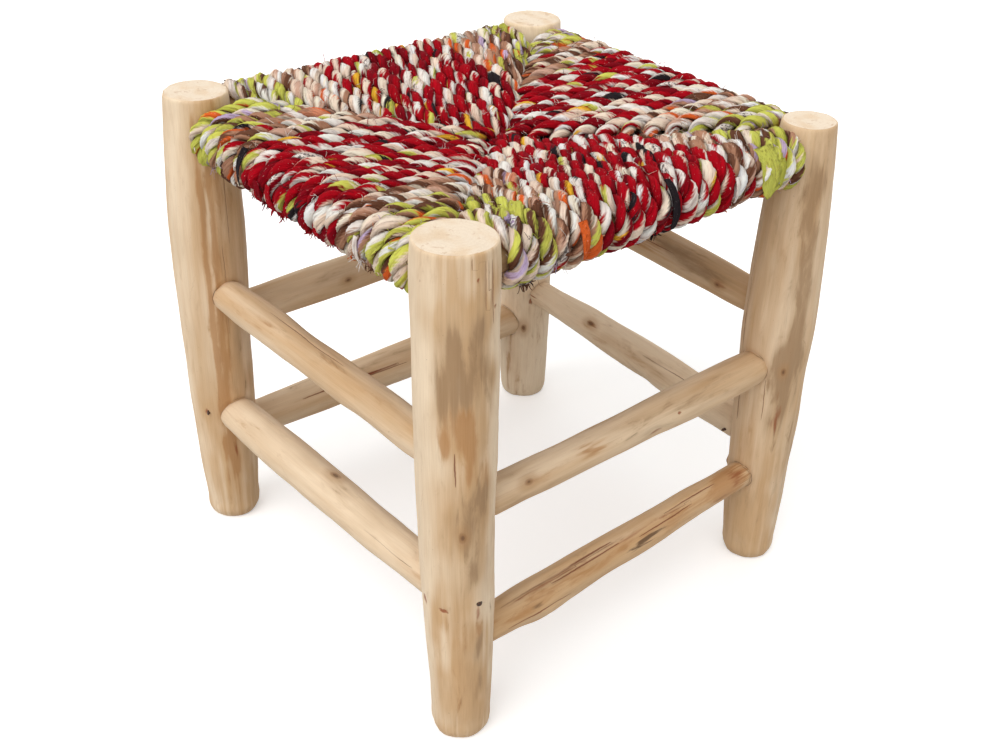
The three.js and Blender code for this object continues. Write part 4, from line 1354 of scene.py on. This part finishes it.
def strand(root, heading, length, width, thickness, curl, sides, rng):
    """Points of a thin curved strand that narrows to its tip."""
    at = root - heading * strand_root
    facing = rng.normal(size=3)
    wildness = min(curl_width / width, curl_limit) + least_curl
    rows = []
    for step in range(fray_steps):
        heading = unit(heading + curl + rng.normal(size=3) * wildness + np.array([0, 0, -strand_droop]))
        beside = unit(np.cross(heading, facing))
        over = np.cross(heading, beside)
        thin = 1 - strand_thinning * (step / (fray_steps - 1)) ** 2
        for side in range(sides):
            angle = 2 * math.pi * side / sides
            rows.append(at + beside * (math.cos(angle) * width * thin) + over * (math.sin(angle) * thickness))
        at = at + heading * length / fray_steps
    return rows


def flap_rows(rail, share, highest, lowest, length, width, rng):
    """Points of a torn strip: round the wraps of a rail, then straight down, with folds and ragged sides."""
    start, end = bar_ends(rail)
    middle = start + (end - start) * share
    sideways = unit(end - start)
    out = unit(middle * [1, 1, 0] - sideways * (middle @ sideways))
    reach = np.linspace(0, length, flap_steps)
    radius = wrap_radius + ply_offset + ply_radius * flap_lie
    angle = np.maximum(math.radians(highest) - reach / radius, math.radians(lowest))
    hang = np.maximum(reach - math.radians(highest - lowest) * radius, 0)
    phase = rng.uniform(0, 2 * math.pi)
    rows = []
    for k in range(flap_steps):
        normal = out * math.cos(angle[k]) + np.array([0, 0, math.sin(angle[k])])
        place = middle + normal * radius - np.array([0, 0, hang[k]])
        narrow = width * (1 - flap_taper * (k / (flap_steps - 1)) ** 4) * rng.uniform(*flap_ragged)
        sides = np.linspace(-1, 1, flap_columns) * narrow
        fold = flap_ruffle * (0.5 + 0.5 * np.sin(sides / ruffle_width + phase + k * ruffle_turn))
        front = place + sideways * sides[:, None] + normal * (fold + flap_thickness)[:, None]
        back = place + sideways * sides[:, None] + normal * fold[:, None]
        rows.extend([*front, *back[::-1]])
    return rows


def strand_piece(name, strands, material):
    """One mesh of many strands: for each its rings of points, how many points a ring has, and its colour."""
    points, faces, tint = [], [], []
    for rows, sides, color in strands:
        first, final = len(points), len(points) + len(rows) - sides
        points.extend(rows)
        tint.extend([color] * len(rows))
        faces.append(ring_faces(len(rows) // sides, sides, first))
        faces.append(np.array([[first, first + n + 1, first + n] for n in range(1, sides - 1)]))
        faces.append(np.array([[final, final + n, final + n + 1] for n in range(1, sides - 1)]))
    points = np.array(points)
    return mesh_object(name, points, faces, material, [("ply", points)], np.array(tint))


def fray_pieces(name, path, hidden, material, rng):
    """Loose threads and torn tatters that stand off one cord, each rooted in a ply."""
    free = np.flatnonzero(~hidden)
    weights = 1 + underside_bias * (path[free, 2] < rail_height - rail_diameter / 4)
    weights = weights / weights.sum()
    tangent = unit(np.gradient(path, axis=0))
    surface = ply_offset + ply_radius * strand_seat
    threads, tatters = [], []

    def add_strand(strands, root, heading, length, width, thickness, sides, color, bend=loose_curl):
        curl = rng.normal(size=3) * bend
        rows = strand(root, unit(heading + curl), length, width, thickness, curl, sides, rng)
        strands.append((rows, sides, rag_colors[color]))

    def add_threads(root, heading, color):
        for _ in range(rng.integers(1, fray_cluster + 1)):
            start = root + rng.normal(size=3) * cluster_spread
            width = rng.uniform(*thread_widths)
            length = rng.gamma(thread_length_shape, thread_length_spread) + shortest_thread
            length = min(length, longest_thread)
            add_strand(threads, start, heading, length, width, width, thread_sides, color)

    def add_tatter(root, heading, color):
        width = rng.uniform(*tatter_widths)
        length = rng.uniform(*tatter_lengths)
        add_strand(tatters, root, heading, length, width, tatter_thickness, tatter_sides, color)

    thread_count, tatter_count = fray_counts[name]
    for k in range(thread_count + tatter_count):
        i = rng.choice(free, p=None if k < thread_count else weights)
        away = unit(np.cross(tangent[i], rng.normal(size=3)))
        heading = away * rng.uniform(*loose_rise) + tangent[i] * rng.normal()
        heading = unit(heading + rng.normal(size=3) * loose_scatter)
        color = rng.choice(fray_rags[name])
        add = add_threads if k < thread_count else add_tatter
        add(path[i] + away * surface, heading, color)
    for place, color, count, length, width in tufts[name]:
        middle = np.argmin(np.linalg.norm(path - place, axis=1))
        for _ in range(count):
            i = middle + rng.integers(-tuft_reach, tuft_reach + 1)
            away = unit(unit(place - path[i]) + rng.normal(size=3) * tuft_scatter)
            heading = unit(away + np.array([0, 0, -tuft_droop]) + tangent[i] * rng.normal() * tuft_slant)
            size = rng.uniform(*tuft_sizes)
            add_strand(tatters, path[i] + away * surface, heading, length * size, width * size,
                       tatter_thickness, tatter_sides, color, tuft_curl)
    for rail, share, highest, lowest, color, length, width in flaps[name]:
        rows = flap_rows(rail, share, highest, lowest, length, width, rng)
        tatters.append((rows, 2 * flap_columns, rag_colors[color]))
    for bundle, strands in (("threads", threads), ("tatters", tatters)):
        piece = strand_piece(f"{name}_{bundle}", strands, material)
        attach(piece, "root")


def dress_node(name, material):
    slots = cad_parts[name].data.materials
    slots.clear()
    slots.append(material)


# Camera of the photograph
camera_place = (0.6430, -0.5290, 0.6777)
camera_azimuth = 50.09
camera_elevation = 32.22
camera_roll = 1.35
camera_lens = 43.91
camera_near = 0.01
sensor_width = 36.0


def add_camera():
    azimuth, elevation, roll = map(math.radians, (camera_azimuth, camera_elevation, camera_roll))
    data = bpy.data.cameras.new("photo_camera")
    data.lens = camera_lens
    data.sensor_width = sensor_width
    data.sensor_fit = "HORIZONTAL"
    data.clip_start = camera_near
    camera = linked_object("photo_camera", data)
    aim = Matrix.Rotation(azimuth, 4, "Z") @ Matrix.Rotation(math.pi / 2 - elevation, 4, "X")
    camera.matrix_world = Matrix.Translation(camera_place) @ aim @ Matrix.Rotation(roll, 4, "Z")
    bpy.context.scene.camera = camera


# Suns: direction towards each, width of its patch of sky in degrees, and strength
suns = {
    "key": ((0.1, -1.0, 1.1), 50, 1.38),
    "fill": ((1.0, -0.6, 0.55), 70, 0.62),
    "back": ((-1.0, 0.9, 0.6), 80, 0.42),
}
world_strength = 0.62
world_color = (1, 0.99, 0.975, 1)
white = (1, 1, 1, 1)
floor_size = 12.0
floor_shown = (0.97, 0.97, 0.97, 1)
floor_bounce = (0.42, 0.42, 0.42, 1)
floor_lift = 0.3
random_seed = 2380


def add_sun(name, direction, angle, strength):
    """Even light over the whole floor, from a wide patch of sky."""
    data = bpy.data.lights.new(name, "SUN")
    data.angle = math.radians(angle)
    data.energy = strength
    aim = (-Vector(direction)).to_track_quat("-Z", "Y")
    linked_object(name, data).matrix_world = aim.to_matrix().to_4x4()


def add_floor():
    """Plain pale floor: nearly white to the camera, a little darker for the light it throws back."""
    s = Shader("floor_paper")
    rays = s.add("LightPath").outputs
    seen = s.math("MAXIMUM", rays["Is Camera Ray"], rays["Is Glossy Ray"])
    seen = s.math("MAXIMUM", seen, rays["Is Transmission Ray"])
    s.set(s.surface, {
        "Base Color": s.mix(seen, floor_bounce, floor_shown), "Roughness": 0.9, "Specular IOR Level": 0.0,
        "Emission Color": white, "Emission Strength": s.times(seen, floor_lift),
    })
    half = floor_size / 2
    points = np.array([(-half, -half, 0), (half, -half, 0), (half, half, 0), (-half, half, 0)])
    floor = mesh_object("floor", points, [np.array([[0, 1, 2, 3]])], s.material)


def add_world():
    """Even light from all round, which looks plain white to the camera."""
    world = bpy.data.worlds.new("studio")
    world.use_nodes = True
    nodes = Nodes(world.node_tree)
    rays = nodes.add("LightPath").outputs
    seen = nodes.math("MAXIMUM", rays["Is Camera Ray"], rays["Is Glossy Ray"])
    light = nodes.add("Background", {"Color": world_color, "Strength": world_strength})
    backdrop = nodes.add("Background", {"Color": white, "Strength": 1.0})
    mix = nodes.add("MixShader", {0: seen, 1: light.outputs[0], 2: backdrop.outputs[0]})
    nodes.add("OutputWorld", {"Surface": mix.outputs[0]})
    bpy.context.scene.world = world


def build_scene():
    add_camera()
    rng = np.random.default_rng(random_seed)
    cloth = rag_cloth()
    for name in cord_runs:
        path, hidden = cord_pieces(name, cloth, rng)
        fray_pieces(name, path, hidden, cloth, rng)
    wood = peeled_wood()
    for name in legs:
        leg_piece(name, wood)
    for name in rungs:
        rung_piece(name, wood)
    steel = nail_steel()
    for name in nails:
        nail_piece(name, steel)
    hidden_wood = rail_wood()
    for name in rails:
        dress_node(name, hidden_wood)
    add_floor()
    add_world()
    for name, sun in suns.items():
        add_sun(name, *sun)
    bpy.context.scene.view_settings.view_transform = "Standard"


build_scene()
